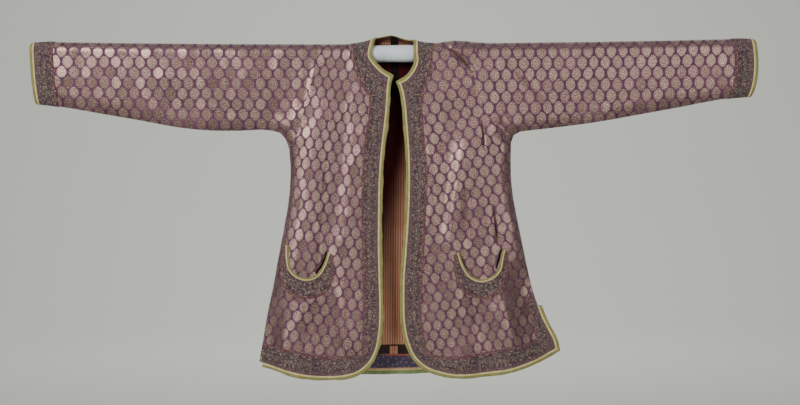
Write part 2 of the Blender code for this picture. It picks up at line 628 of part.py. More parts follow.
def build_back(collection, left_x, right_x):
    hem, hem_in = edge_path([(BACK_HEM, EDGE_STEP), (BACK_SLIT, EDGE_STEP)])
    neck_line = curve([(x, -ARC * degrees / 90) for x, degrees in BACK_NECK], BACK_NECK_STEP)
    neck, neck_in = edge_path([(neck_line, None)], (True, True))
    hem_in = -hem_in
    corner, top = on_cloth([BACK_HEM[0], BACK_LEFT_TOP])
    hem_in[0] = (top - corner) / -(top - corner)[1]
    neck_in[0], neck_in[-1] = [-1.0, 0.0], [1.0, 0.0]
    hem_cloth, neck_cloth = shifted(hem, hem_in, HEM_BINDING + GAP), shifted(neck, neck_in, BINDING + GAP)
    hem_rim = shifted(hem, hem_in, HEM_BINDING + GAP + PIPING + 0.4)
    neck_rim = shifted(neck, neck_in, BINDING + GAP + PIPING + 0.4)
    hem_band = far_in(hem, hem_in, HEM_BINDING + GAP + PIPING + 0.4 + BACK_BORDER)
    neck_band = far_in(neck, neck_in, BINDING + GAP + PIPING + 0.4 + BACK_BORDER)
    right, left = armhole_edge(right_x, 1), armhole_edge(left_x, -1)
    right_side, left_side = side_line(1, right[-1, 1], -572), side_line(-1, left[-1, 1], -632)
    shoulders = []
    for seam, end, band in ((right, neck_cloth[-1], neck_band[-1]), (left, neck_cloth[0], neck_band[0])):
        row = np.linspace(end[0], seam[0, 0], 6)[1:-1]
        row[np.abs(row - band[0]).argmin()] = band[0]
        shoulders.append(np.stack([row, np.full(len(row), -ARC)], -1))
    outline = np.concatenate([
        neck_cloth, shoulders[0], right, right_side, hem_cloth[::-1], [top], left_side[::-1], left[::-1],
        shoulders[1][::-1],
    ])
    lines = [hem_rim, neck_rim, hem_band, neck_band, np.linspace(hem_rim[-1], hem_band[-1], 3)]
    for row, out in zip(shoulders, (1, -1)):
        lines += shoulder_rows(np.append(row[:, 0], [out * 42, out * 52]), neck_rim)
    for side, out in ((right_side, 1), (left_side, -1)):
        for inset in (3.5, 12.0, FOLD_ROUND):
            lines.append(np.stack([side[1:, 0] - out * inset, side[1:, 1]], -1))
    wide, foot = LINING_HALF, -716.0
    for x in (-wide, wide):
        lines.append(straight((x, LINING_TOP), (x, foot), BACK_STEP))
    for z in (LINING_FOOT, BAND_TOP, BAND_FOOT, FACING_TOP):
        lines.append(straight((-wide, z), (wide, z), BACK_STEP))
    near = NECK_LINING_HALF
    for x in (-near, near):
        up = on_cloth([(x, LINING_TOP)])[0, 1]
        end = float(np.interp(x, neck_rim[:, 0], neck_rim[:, 1]))
        lines.append(np.stack([np.full(4, x), np.linspace(up, end, 4)], -1))
        lines.append(straight((x, LINING_TOP), (math.copysign(wide, x), LINING_TOP), BACK_STEP))
    for x in (-TAPE_HALF, TAPE_HALF):
        end = float(np.interp(x, neck_rim[:, 0], neck_rim[:, 1]))
        rows = np.linspace(end, on_cloth([(x, TAPE_FOOT)])[0, 1], 7)
        lines.append(np.stack([np.full(7, x), rows], -1))
    lines.append(straight((-TAPE_HALF, TAPE_FOOT), (TAPE_HALF, TAPE_FOOT), BACK_STEP))
    flat, triangles = cut(outline, lines, BACK_STEP)
    sheet(collection, "back", "brocade", flat, triangles, 1, -CLOTH, 0)
    middle = flat[triangles].mean(1)
    for name, rim, band in (("hem", hem_rim, hem_band), ("neck", neck_rim, neck_band)):
        inside = in_polygon(middle, np.concatenate([rim, band[::-1]]))
        sheet(collection, "border_back_" + name, "border", flat, triangles[inside], 1, GAP, GAP + TRIM)
    x, z = middle[:, 0], -middle[:, 1]
    above_hem = -z < np.interp(x, hem_rim[:, 0], hem_rim[:, 1], right=0)
    below_neck = middle[:, 1] > np.interp(x, neck_rim[:, 0], neck_rim[:, 1])
    in_lining = (z < LINING_TOP) & (np.abs(x) < wide) | (np.abs(x) < near) & below_neck
    low, high = -CLOTH - GAP - LINING, -CLOTH - GAP
    for name, look, chosen, drop in (
        ("lining_back", "lining", in_lining & (z > LINING_FOOT), 0),
        ("band_back_hem", "black", (np.abs(x) < wide) & (z < BAND_TOP) & (z > BAND_FOOT), 0),
        ("facing_back_hem", "facing", (np.abs(x) < wide) & (z < FACING_TOP) & above_hem, 0),
        ("neck_tape", "black", (np.abs(x) < TAPE_HALF) & below_neck & (z > TAPE_FOOT), GAP + LINING),
    ):
        sheet(collection, name, look, flat, triangles[chosen], 1, low - drop, high - drop)
    trims(collection, "back_hem", hem, hem_in, 1, HEM_BINDING)
    trims(collection, "back_neck", neck, neck_in, 1, BINDING)


def build_rod(collection):
    """The straight middle of the rod and its two arms, which rise a little to the cuffs."""
    lengths = {
        "rod": np.linspace(-ROD_MIDDLE, ROD_MIDDLE, 3),
        "rod_arm_left": np.linspace(-ROD_HALF, -ROD_MIDDLE - GAP, ROD_STEPS),
        "rod_arm_right": np.linspace(ROD_MIDDLE + GAP, ROD_HALF, ROD_STEPS),
    }
    turns = np.arange(ROD_SIDES) * 2 * math.pi / ROD_SIDES
    for name, places in lengths.items():
        rings = []
        for x in places:
            ring = [np.full(ROD_SIDES, x), ROD_RADIUS * np.sin(turns), rod_rise(x) + ROD_RADIUS * np.cos(turns)]
            rings.append(np.stack(ring, -1))
        sweep(collection, name, "muslin", rings, False)


def build(collection):
    build_rod(collection)
    left_x = build_sleeve(collection, "left", LEFT_ARMHOLE, LEFT_CUFF, -1)
    right_x = build_sleeve(collection, "right", RIGHT_ARMHOLE, RIGHT_CUFF, 1)
    build_back(collection, left_x, right_x)
    edges = [(LEFT_NECK, NECK_STEP), (LEFT_OPENING, EDGE_STEP)]
    build_front(collection, "left", -1, left_x, edges, LEFT_BORDER, (LEFT_POCKET, LEFT_POCKET_BAND))
    edges = [(RIGHT_NECK, NECK_STEP), (RIGHT_OPENING, EDGE_STEP), (RIGHT_SLIT, EDGE_STEP)]
    build_front(collection, "right", 1, right_x, edges, RIGHT_BORDER, (RIGHT_POCKET, RIGHT_POCKET_BAND))


for old in list(bpy.data.objects):
    bpy.data.objects.remove(old, do_unlink=True)
coat = bpy.data.collections.new("coat")
bpy.context.scene.collection.children.link(coat)
build(coat)
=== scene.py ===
"""Looks of a short brocade coat hung on a padded rod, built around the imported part.

The coat hangs by its straight sleeves on a muslin covered rod. Sizes in this file are in millimetres on the
cloth unless a name ends in _M. X runs to the viewer's right, Y away from the front and Z up from the rod's
axis. Left and right are the viewer's. A place on the cloth is (x, w): x across, and w the way down from the
rod's axis, which is below zero where the cloth lies over the rod.
"""

import logging
import math
from collections.abc import Callable, Sequence
from dataclasses import dataclass, field
from enum import Enum

import bpy
import numpy as np
from bpy.types import Material, MeshPolygon, Node, NodeSocket, NodeTree, Object
from mathutils import Euler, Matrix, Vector
from mathutils.geometry import delaunay_2d_cdt


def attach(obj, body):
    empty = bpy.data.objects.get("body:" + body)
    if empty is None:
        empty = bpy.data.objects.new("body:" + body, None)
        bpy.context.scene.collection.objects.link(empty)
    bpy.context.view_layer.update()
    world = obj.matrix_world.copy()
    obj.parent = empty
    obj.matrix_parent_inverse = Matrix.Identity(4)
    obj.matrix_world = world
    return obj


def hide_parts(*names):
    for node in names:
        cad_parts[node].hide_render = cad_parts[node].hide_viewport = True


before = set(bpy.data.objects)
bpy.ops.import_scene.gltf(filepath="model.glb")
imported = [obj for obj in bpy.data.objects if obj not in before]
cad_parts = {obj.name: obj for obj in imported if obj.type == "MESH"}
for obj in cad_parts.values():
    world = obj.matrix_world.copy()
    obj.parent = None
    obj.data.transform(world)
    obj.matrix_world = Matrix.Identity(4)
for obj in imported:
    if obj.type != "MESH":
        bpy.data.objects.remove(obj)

LOG = logging.getLogger("coat")
MM = 0.001
Pair = tuple[float, float]
Place = tuple[float, float, float]
Points = Sequence[Pair]
Array = np.ndarray
Pattern = Callable[[Array], Array]
Way = Callable[[float], float]

# Cloth, trims and the gaps between pieces
CLOTH = 2.0
TRIM = 1.0
LINING = 0.8
GAP = 0.3
HALF_GAP = GAP / 2
BINDING = 7.7
HEM_BINDING = 11.7
PIPING = 2.6
CUFF_BAND = 42.0
POCKET_LIP = 5.0
# How wide the satin and the cord show; the part has them a little wider and narrower
RIBBON = 6.0
CORD = 4.2
BACK_BORDER = 38.0
SEAM = 0.4
# From a finished edge to the cloth's own edge under the binding, and to the border's edge beside the piping
CLOTH_WAY = BINDING + GAP
RIM_WAY = CLOTH_WAY + PIPING + SEAM
# Share of a gaping crease's half width that is painted black, painted shade in the gap
GAP_SHADE_SHARE = 0.85

# The rod and how the cloth sits on it
ROD_RADIUS = 19.5
ROD_HALF = 768.0
ROD_RISE = 9.0
ROD_RISE_AT = 820.0
ARC = 22.0 * math.pi / 2
FOLD_ROUND = 30.0
FLAT_BLEND = 80.0
NECK_STAND = 18.0
NECK_STAND_X = (4, 44)
# Where the body's depth turns into the sleeve's, across and up
SLEEVE_FROM = (195, 285)
SLEEVE_ABOVE = (-235, -175)
# Heights between which the pressed foot of a side turns round, and ways down between which its edge opens
FLAT_LEFT = (-625, -520)
FLAT_RIGHT = (-540, -430)
OPEN_LEFT = (640, 705)
OPEN_RIGHT = (560, 680)

# Height of the cloth above the rod's axis along the shoulders: x, height
RIDGE = [
    (-840, 15), (-806, 20.5), (-790, 22), (-112, 22), (-98, 22.6), (-75, 25.5), (-55, 31), (-42, 35.5),
    (-34, 40), (-20, 46), (-9, 50.5), (2, 49), (12, 44), (25, 37), (42, 31), (55, 27.5), (80, 23.5),
    (96, 24), (114, 26.5), (130, 28.8), (157, 28.2), (189, 24.8), (215, 23), (260, 22.8), (470, 22.3),
    (560, 22), (790, 22), (806, 20.5), (840, 15),
]

# Half depth of the hung cloth: height, front, back, sleeve
DEPTH = [
    (-780, 37, 28, 15), (-620, 34, 26, 15), (-500, 31, 24.5, 15), (-350, 28, 24, 15), (-200, 26, 25, 15),
    (-140, 25, 25.5, 15.5), (-100, 24.5, 26, 18.5), (-60, 24, 26, 21.5), (0, 24, 26, 22.4),
    (60, 24, 26, 22.4),
]

# Large folds, top to bottom: height, x, how far it stands out, half width
FRONT_FOLDS = [
    [(-150, -185, 0, 17), (-300, -214, 5, 22), (-450, -228, 6, 24), (-640, -266, 8, 26), (-780, -288, 8, 28)],
    [(-180, -150, 0, 18), (-300, -152, -3, 24), (-500, -152, -5, 28), (-780, -152, -6, 32)],
    [(-90, -88, 0, 18), (-200, -98, 3, 20), (-417, -121, 5, 24), (-780, -100, 6, 26)],
    [(-340, -183, 0, 15), (-420, -190, 3, 18), (-620, -206, 4, 20), (-780, -214, 4, 22)],
    [(-180, 168, 0, 17), (-251, 153, 4, 22), (-411, 125, 5, 24), (-607, 137, 6, 26), (-780, 140, 6, 28)],
    [(-160, 186, 0, 16), (-221, 187, 4, 20), (-395, 208, 5, 22), (-630, 245, 8, 26), (-780, 268, 9, 28)],
    [(-300, 178, 0, 18), (-420, 166, -3, 22), (-620, 190, -5, 26), (-780, 202, -6, 28)],
]
BACK_FOLDS = [
    [(-220, -120, 0, 32), (-450, -138, 4, 38), (-780, -165, 8, 44)],
    [(-260, -40, 0, 30), (-500, -48, -2, 34), (-780, -56, -4, 42)],
    [(-240, 40, 0, 30), (-450, 52, 3, 34), (-780, 62, 6, 42)],
    [(-220, 130, 0, 32), (-450, 150, -3, 36), (-780, 176, -5, 42)],
    [(-300, 205, 0, 30), (-500, 226, 4, 34), (-780, 262, 8, 40)],
]

# Sleeve underside and side seam, from the cuff down past the hem: x, height
LEFT_SIDE = [
    (-840, -107), (-757, -118), (-673, -133), (-582, -149), (-491, -166), (-425, -173), (-354, -174),
    (-280, -174), (-262, -179), (-249, -193), (-241, -216), (-238, -255), (-239.5, -298), (-244, -343),
    (-252.5, -389), (-261, -434), (-270, -480), (-278, -525), (-288, -571), (-296.5, -616), (-303, -658),
    (-305.5, -684), (-303.5, -704), (-302, -770),
]
RIGHT_SIDE = [
    (840, -98), (740, -108), (649, -125), (558, -141), (466, -157), (375, -169), (310, -176), (285, -179),
    (271, -187), (265, -203), (264, -243), (265.5, -300), (272, -346), (281, -392), (290, -437), (299, -483),
    (308.5, -526), (317, -556), (325.3, -577.3), (345, -632), (362, -690), (376, -770),
]

# Armhole seams: x, height, from the shoulder to the underarm
LEFT_ARMHOLE = [(-173, 0), (-183, -42), (-196, -94), (-211, -151), (-224, -188), (-252, -230)]
RIGHT_ARMHOLE = [(186, 0), (178, -37), (187, -83), (199, -124), (218, -152), (258, -184), (292, -214)]

# Finished edges: x, height. Each list is a smooth run, and the runs of one edge meet at corners
LEFT_NECK = [
    (-39, 36), (-43, 30), (-46, 18), (-48.5, 9), (-50.2, -6), (-42.3, -19), (-29.8, -33), (-2.6, -52),
]
LEFT_OPENING = [
    (-2.6, -52), (-6.5, -72), (-9.3, -107), (-13, -150), (-21, -215), (-26.7, -288), (-28.5, -367),
    (-29.2, -447), (-28, -511), (-26.7, -575), (-30, -638), (-37, -671), (-53, -703), (-79, -725),
    (-112, -736), (-155, -740), (-197, -737), (-239, -729), (-272, -720), (-304, -712),
]
RIGHT_NECK = [(41, 31), (42.4, 24), (42.7, 14), (42.8, 0), (44, -19), (36.5, -38), (24.8, -52), (2.4, -65.5)]
RIGHT_OPENING = [
    (2.4, -65.5), (9, -84), (13.3, -104), (18.3, -157), (22.7, -219), (24.1, -288), (22, -352), (15.7, -447),
    (10.8, -511), (9.8, -561), (11.2, -607), (20.5, -656), (36.2, -691), (64.4, -717), (103, -731),
    (149, -736.5), (205, -732.5), (254, -724.5), (292, -714), (324, -702.5), (350, -690), (373.5, -677),
]
RIGHT_SLIT = [(373.5, -677), (368, -652), (357.5, -629.5), (349, -613), (340.5, -595), (333, -574.5)]
# The back of the neck: x, degrees over the rod
BACK_NECK = [
    (-39, 90), (-38.6, 85), (-37, 79.5), (-33, 75), (-27, 71.5), (-20, 68), (-9, 63), (4, 61.5), (15, 65),
    (25, 70.5), (33, 75), (38, 79.5), (40.4, 85), (41, 90),
]
BACK_HEM = [
    (-312, -701), (-250, -714), (-155, -727), (-70, -733), (0, -733.5), (64, -732), (150, -726), (250, -712),
    (342, -690),
]
BACK_SLIT = [(342, -690), (340, -650), (337, -612), (333, -574.5)]
BACK_LEFT_TOP = (-299.8, -637)
# Heights at which the side seams end, and the ends of the fronts' trims there
LEFT_FRONT_FOOT = -703
LEFT_BACK_FOOT = -632
RIGHT_FOOT = -572
LEFT_RIM_END = (-304, -700.6)
RIGHT_RIM_END = [(318.6, -560), (325, -554)]
LEFT_CUFF = [(-826, 31), (-826, 10), (-825, -10), (-822.5, -55), (-819, -90), (-816, -130)]
RIGHT_CUFF = [(819, 31), (821, 10), (823.5, -18), (823.2, -46), (818, -82), (806, -120)]

# Inner edges of the woven border: x, height
LEFT_BORDER = [
    [(-99, 22), (-98, 12), (-94, -15), (-89, -39), (-75, -74), (-57.5, -99)],
    [(-57.5, -99), (-57.5, -128), (-68, -195), (-74, -265), (-75, -450), (-74, -600), (-77, -682)],
    [(-77, -682), (-148, -685), (-200, -678), (-250, -667), (-305.4, -658)],
]
RIGHT_BORDER = [
    [(89, 22), (88, 14), (86, -15), (85, -39), (71, -68), (62, -103)],
    [
        (62, -103), (63, -140), (67, -200), (73, -272), (70, -350), (66, -430), (60, -540), (59, -612),
        (72, -680),
    ],
    [(72, -680), (110, -686), (150, -685), (194, -679), (239, -669), (287, -660), (319, -650)],
    [(319, -650), (309, -612), (302, -582), (301, -560), (315, -541)],
]

# Pocket mouths: x, height, then the lower edge of the border below each
LEFT_POCKET = [
    (-247.5, -434), (-247, -462), (-241, -489), (-224, -507), (-197, -514), (-173, -504), (-158, -482),
    (-147, -451),
]
LEFT_POCKET_BAND = [
    (-254, -437), (-258, -475), (-257, -515), (-240, -543), (-200, -555), (-162, -546), (-142, -515),
    (-140.5, -458),
]
RIGHT_POCKET = [
    (138.5, -453), (151, -488), (167, -510), (193, -519.5), (222, -510), (237, -493), (243, -468),
    (247.5, -447),
]
RIGHT_POCKET_BAND = [
    (132, -458), (135, -510), (153, -541), (193, -558), (232, -546), (251, -515), (255, -480), (253.5, -450),
]

# Inside of the back, seen through the opening: half widths, top and bottom heights
LINING_HALF = 108.0
NECK_LINING_HALF = 33.0
LINING_TOP = -8.0
LINING_FOOT = -664.0
BAND_TOP = -665.2
BAND_FOOT = -686.5
FACING_TOP = -687.7
TAPE_HALF = 9.0
PATCH = (-14.0, 4.0)
PATCH_TOP = -668.2
TAPE_FOOT = -96.0
# On the back's inside, in metres: where the brocade is turned in beside each slit (x and height), and the
# neck's part above the rod (height and half width)
LEFT_TURNED_IN_M = (-0.283, -0.63)
RIGHT_TURNED_IN_M = (0.3, -0.55)
NECK_INSIDE_M = (0.012, 0.045)

# Steps of the visible meshes
PANEL_STEP = 4.4
EDGE_STEP = 4.0
# Extra lines beside the side seams, where the cloth bends most
SIDE_INSETS = (2.0, 5.0, 9.0)
# Step in which a panel's width is measured, and how many times its length the way along it may count
GRAIN_STEP = 4.0
STEEPEST = 2.2


class Side(Enum):
    """Which layer of the hung coat a place is on."""

    FRONT = -1
    BACK = 1


def smooth(low: float, high: float, at: Array | float) -> Array:
    """Soft step from 0 to 1 between two values.

    Args:
        low: Where the step begins.
        high: Where it ends.
        at: The values to look at.

    Returns:
        The share of the step at each value.
    """
    t = np.clip((np.asarray(at, float) - low) / (high - low), 0, 1)
    return t * t * (3 - 2 * t)


def column(table: Sequence[Sequence[float]], at: Array | float, index: int) -> Array:
    """Reads one column of a table between its rows.

    Args:
        table: Rows whose first number is the place.
        at: The places to read.
        index: The column's number.

    Returns:
        The column's value at each place.
    """
    rows = sorted(table)
    return np.interp(at, [row[0] for row in rows], [row[index] for row in rows])


def rod_rise(x: Array | float) -> Array:
    """How far the rod's axis has risen at x."""
    return ROD_RISE * (np.asarray(x, float) / ROD_RISE_AT) ** 2


def curve(points: Sequence[Sequence[float]], step: float) -> Array:
    """Draws a smooth line through points.

    Args:
        points: The points that the line goes through.
        step: About how far apart the new points lie.

    Returns:
        The line's points.
    """
    p = np.array(points, float)
    lengths = np.linalg.norm(np.diff(p, axis=0), axis=1)
    t = np.concatenate([[0], np.cumsum(lengths)])
    slope = np.gradient(p, t, axis=0)
    out = []
    for i, length in enumerate(lengths):
        for u in np.arange(max(1, round(length / step))) / max(1, round(length / step)):
            a = (2 * u**3 - 3 * u**2 + 1) * p[i] + (u**3 - 2 * u**2 + u) * length * slope[i]
            b = (3 * u**2 - 2 * u**3) * p[i + 1] + (u**3 - u**2) * length * slope[i + 1]
            out.append(a + b)
    return np.array(out + [p[-1]])


# The side lines and shoulders have the same points as in the part, so that both hold one form
SIDES = {-1: curve(LEFT_SIDE, 27.0), 1: curve(RIGHT_SIDE, 27.0)}
SHOULDERS = [row for row in RIDGE if abs(row[0]) >= 300]
SHOULDERS += [tuple(row) for row in curve([row for row in RIDGE if abs(row[0]) < 300], 4)]


def in_polygon(points: Array, polygon: Array) -> Array:
    """Tells which points lie inside a closed outline."""
    x, y = points[:, 0], points[:, 1]
    inside = np.zeros(len(points), bool)
    for (ax, ay), (bx, by) in zip(polygon, np.roll(polygon, -1, axis=0)):
        crosses = (ay > y) != (by > y)
        inside ^= crosses & (x < (bx - ax) * (y - ay) / (by - ay + 1e-12) + ax)
    return inside


def line_distance(points: Array, line: Array) -> Array:
    """Measures how far points are from a line.

    Args:
        points: The points to measure.
        line: The line's own points.

    Returns:
        Each point's distance from the nearest place on the line.
    """
    nearest = np.full(len(points), np.inf)
    for a, b in zip(line[:-1], line[1:]):
        along = b - a
        t = np.clip(((points - a) @ along) / max(float(along @ along), 1e-12), 0, 1)
        gap = points - a - t[:, None] * along
        nearest = np.minimum(nearest, (gap**2).sum(1))
    return np.sqrt(nearest)


def ways_along(line: Array) -> Array:
    """The way along a line to each of its points."""
    return np.concatenate([[0], np.cumsum(np.linalg.norm(np.diff(line, axis=0), axis=1))])


def beside_line(points: Array, line: Array) -> tuple[Array, Array, Array]:
    """Finds where points lie beside a line.

    Args:
        points: The points.
        line: The line's own points.

    Returns:
        For each point its way along the line, the square of its distance from it and its side, 1 or -1.
    """
    lengths = ways_along(line)
    near = np.full(len(points), np.inf)
    way, sign = np.zeros(len(points)), np.zeros(len(points))
    for i, (a, b) in enumerate(zip(line[:-1], line[1:])):
        along = b - a
        size = max(float(along @ along), 1e-12)
        t = np.clip(((points - a) @ along) / size, 0, 1)
        gap = points - a - t[:, None] * along
        distance = (gap**2).sum(1)
        closer = distance < near
        near[closer] = distance[closer]
        way[closer] = lengths[i] + t[closer] * math.sqrt(size)
        sign[closer] = np.sign(along[0] * gap[closer, 1] - along[1] * gap[closer, 0])
    return way, near, sign


def side_distance(x: Array, z: Array) -> Array:
    """How far a place lies inside the sleeve's underside and the side seam; outside is negative."""
    points = np.stack([x, z], -1)
    distance = np.full(len(points), 400.0)
    for sign, line in SIDES.items():
        own = np.sign(x) == sign
        if own.any():
            closed = np.concatenate([line, [[line[-1, 0], -1000], [0, -1000], [0, 200], [sign * 900, 200]]])
            inside = in_polygon(points[own], closed)
            distance[own] = np.where(inside, 1, -1) * line_distance(points[own], line)
    return distance


def fold_sum(x: Array, z: Array, folds: Sequence[Sequence[Sequence[float]]]) -> Array:
    """Adds up how far large folds stand out at each place."""
    total = np.zeros(len(x))
    for fold in folds:
        centre, height, width = (column(fold, z, k) for k in (1, 2, 3))
        total += height * np.exp(-(((x - centre) / width) ** 2))
    return total


def half_depth(x: Array, drop: Array, z: Array, side: int) -> Array:
    """Half depth of the hung cloth, from the middle plane to the outside of the wall."""
    body = column(DEPTH, -drop, 1 if side < 0 else 2)
    body = body + fold_sum(x, -drop, FRONT_FOLDS if side < 0 else BACK_FOLDS)
    sleeve = column(DEPTH, -drop, 3)
    share = smooth(*SLEEVE_FROM, np.abs(x)) * smooth(*SLEEVE_ABOVE, z)
    full = body + (sleeve - body) * share
    inside = side_distance(x, z)
    t = np.clip(inside / FOLD_ROUND, 0, 1)
    rounded = HALF_GAP + (full - HALF_GAP) * np.sqrt(1 - (1 - t) ** 2)
    flat_share = np.where(x < 0, 1 - smooth(*FLAT_LEFT, z), 1 - smooth(*FLAT_RIGHT, z))
    open_left = 2.5 * smooth(*OPEN_LEFT, -z)
    open_right = (10 if side < 0 else 5) * smooth(*OPEN_RIGHT, -z)
    edge = CLOTH + HALF_GAP + np.where(x < 0, open_left, open_right)
    flat = edge + (full - edge) * (1 - np.cos(math.pi * np.clip(inside / FLAT_BLEND, 0, 1))) / 2
    return rounded + (flat - rounded) * flat_share


def wall(x: Array, w: Array, side: int) -> Array:
    """The outside of the smooth cloth, as the part has it.

    Args:
        x: Places across.
        w: Places down, or over the rod where below zero.
        side: -1 for the front layer and 1 for the back.

    Returns:
        Points in millimetres.
    """
    x, w = np.asarray(x, float), np.asarray(w, float)
    angle = np.where(w < 0, -w / ARC * math.pi / 2, 0)
    ridge = column(SHOULDERS, x, 1)
    stand = NECK_STAND * (1 - smooth(*NECK_STAND_X, np.abs(x))) * np.where(side > 0, 1, 0)
    drop = np.maximum(w, 0)
    z = np.where(w < 0, ridge * np.sin(angle), -drop)
    depth = half_depth(x, drop, z + rod_rise(x), side)
    y = HALF_GAP + stand + (depth - HALF_GAP - stand) * np.cos(angle)
    return np.stack([x, side * y, z + rod_rise(x)], -1)


def wall_normal(x: Array, w: Array, side: int) -> Array:
    """The way out of the smooth cloth at each place."""
    h = 1.5
    across = wall(x + h, w, side) - wall(x - h, w, side)
    down = wall(x, w + h, side) - wall(x, w - h, side)
    normal = np.cross(across, down) * side
    normal[np.asarray(w) <= -ARC + 0.01, 1] = 0
    return normal / np.linalg.norm(normal, axis=1)[:, None]


@dataclass(frozen=True)
class Crease:
    """One crease: a soft ridge or trough along a line.

    Args:
        line: Points of its middle: x and height.
        height: How far it stands out at its strongest; below zero is a trough.
        width: Half width.
        side: The layer it is on.
        skew: How much steeper its left flank is than its right, from -1 to 1.
        shaded_gap: Whether it gapes; its bottom is then painted black, painted shade in the gap.
    """

    line: tuple[Pair, ...]
    height: float
    width: float
    side: Side = Side.FRONT
    skew: float = 0.0
    shaded_gap: bool = False

    def relief(self, x: Array, z: Array) -> Array:
        """How far it lifts the cloth at each place."""
        total = np.zeros(len(x))
        reach = 2.6 * self.width * (1 + abs(self.skew))
        low, high = np.min(self.line, axis=0) - reach, np.max(self.line, axis=0) + reach
        close = (x > low[0]) & (x < high[0]) & (z > low[1]) & (z < high[1])
        if not close.any():
            return total
        path = curve(self.line, 12.0)
        way, near, sign = beside_line(np.stack([x[close], z[close]], -1), path)
        ends = np.sin(math.pi * np.clip(way / ways_along(path)[-1], 0, 1)) ** 0.7
        width = self.width * (1 + self.skew * sign)
        total[close] = self.height * ends * np.exp(-near / width**2)
        return total

    def rows(self) -> list[Array]:
        """Lines on the cloth along the crease, so that a narrow one is cut finely enough."""
        path = on_cloth(curve(self.line, 3.0))
        along = np.gradient(path, axis=0)
        along /= np.linalg.norm(along, axis=1)[:, None]
        aside = np.stack([-along[:, 1], along[:, 0]], -1)
        return [path + aside * self.width * k for k in (-1.7, -0.85, 0.0, 0.85, 1.7)]


CREASES: list[Crease] = []
# Creases narrower than this get their own rows of points
SHARP = 3.0


def ripple(x: Array, z: Array, side: int) -> Array:
    """Small unevenness of hung, lined silk: a sum of slow waves that run mostly down the cloth."""
    shift = 1.7 if side > 0 else 0.0
    total = np.zeros(len(x))
    # way between two waves, phase, length of their bends and height
    waves = [
        (61.0, 0.20, 210.0, 0.28), (43.0, 1.90, 160.0, 0.22), (29.0, 4.10, 120.0, 0.13),
        (19.0, 2.70, 74.0, 0.07),
    ]
    for across, phase, down, height in waves:
        bend = 1.3 * np.sin(z / down + phase * 2 + shift)
        wave = np.sin(2 * math.pi * x / across + phase + shift + bend)
        total += height * wave * np.sin(z / down * 1.7 + phase)
    return total


def relief(x: Array, z: Array, side: int) -> Array:
    """Everything by which the dressed cloth departs from the part's smooth wall, in millimetres."""
    total = ripple(x, z, side)
    for crease in CREASES:
        if crease.side.value == side:
            total += crease.relief(x, z)
    calm = smooth(1.0, 16.0, side_distance(x, z))
    return total * calm


def lift(x: Array, w: Array, side: int, level: float | Array) -> Array:
    """A point of the dressed cloth moved out by a level, and never across the middle plane.

    Args:
        x: Places across.
        w: Places down.
        side: -1 for the front layer and 1 for the back.
        level: How far out of the cloth's outside, one number or one a place.

    Returns:
        Points in millimetres.
    """
    x, w = np.asarray(x, float), np.asarray(w, float)
    base = wall(x, w, side)
    out = level + relief(x, base[:, 2], side) * smooth(-ARC, -ARC * 0.4, w)
    point = base + wall_normal(x, w, side) * np.reshape(out, (-1, 1))
    point[:, 1] = side * np.maximum(side * point[:, 1], HALF_GAP)
    return point


def cloth_w(x: Array, z: Array) -> Array:
    """The way down or over for heights on the wall."""
    x, z = np.asarray(x, float), np.asarray(z, float)
    own = z - rod_rise(x)
    over = np.arcsin(np.clip(own / column(SHOULDERS, x, 1), 0, 1))
    return np.where(own < 0, -own, -ARC * over / (math.pi / 2))


def on_cloth(points: Sequence[Sequence[float]] | Array) -> Array:
    """Places on the cloth for points given as x and height."""
    points = np.asarray(points, float)
    return np.stack([points[:, 0], cloth_w(points[:, 0], points[:, 1])], -1)


def edge_path(runs: Sequence[tuple], to_ridge: tuple[bool, bool] = (False, False)) -> tuple[Array, Array]:
    """Lays a finished edge on the cloth.

    Args:
        runs: The edge's runs, each a list of points (x, height) and a step; with no step they are places.
        to_ridge: Whether its start and its end lie on the shoulder's ridge.

    Returns:
        The edge's places, and for each the way into the cloth with its mitre.
    """
    pieces = [on_cloth(curve(run, step)) if step else np.array(run, float) for run, step in runs]
    path = np.concatenate([piece[(i > 0):] for i, piece in enumerate(pieces)])
    for end, wanted in zip((0, -1), to_ridge):
        if wanted:
            path[end, 1] = -ARC
    along = np.diff(path, axis=0)
    along /= np.linalg.norm(along, axis=1)[:, None]
    normal = np.stack([-along[:, 1], along[:, 0]], -1)
    before, after = normal[[0] + list(range(len(normal)))], normal[list(range(len(normal))) + [-1]]
    inward = (before + after) / (1 + (before * after).sum(1))[:, None]
    for end, wanted in zip((0, -1), to_ridge):
        if wanted:
            inward[end] = [1 / inward[end, 0], 0]
    return path, inward


def shifted(path: Array, inward: Array, distance: float) -> Array:
    """The edge moved into the cloth by a distance."""
    return path + inward * distance


def far_in(path: Array, inward: Array, distance: float) -> Array:
    """The edge moved far in, without the points that cross over at its corners."""
    moved = shifted(path, inward, distance)
    clear = line_distance(moved, path) > distance - 1
    clear[[0, -1]] = True
    return moved[clear]


def along_edge(points: Array, path: Array) -> Array:
    """Where places lie beside an edge.

    Args:
        points: Places on the cloth.
        path: The edge's own places. Past its ends it is taken as straight.

    Returns:
        For each place its way along the edge and its distance from it.
    """
    first, last = path[0] - path[1], path[-1] - path[-2]
    ends = [path[:1] + first / np.linalg.norm(first) * 70, path[-1:] + last / np.linalg.norm(last) * 70]
    way, near, _ = beside_line(points, np.concatenate([ends[0], path, ends[1]]))
    return np.stack([way, np.sqrt(near)], -1)


def beside_border(path: Array, band: Array, start: float = 0.0) -> Pattern:
    """Gives a border's coordinates for places: along its edge, in from it and in from its inner line.

    Args:
        path: The finished edge.
        band: The border's inner line.
        start: How far in the border begins.

    Returns:
        The function that gives them.
    """

    def coordinates(places: Array) -> Array:
        """The border's coordinates of places."""
        outer, within = along_edge(places, path), along_edge(places, band)
        return np.stack([outer[:, 0], outer[:, 1] + start, within[:, 1]], -1)

    return coordinates


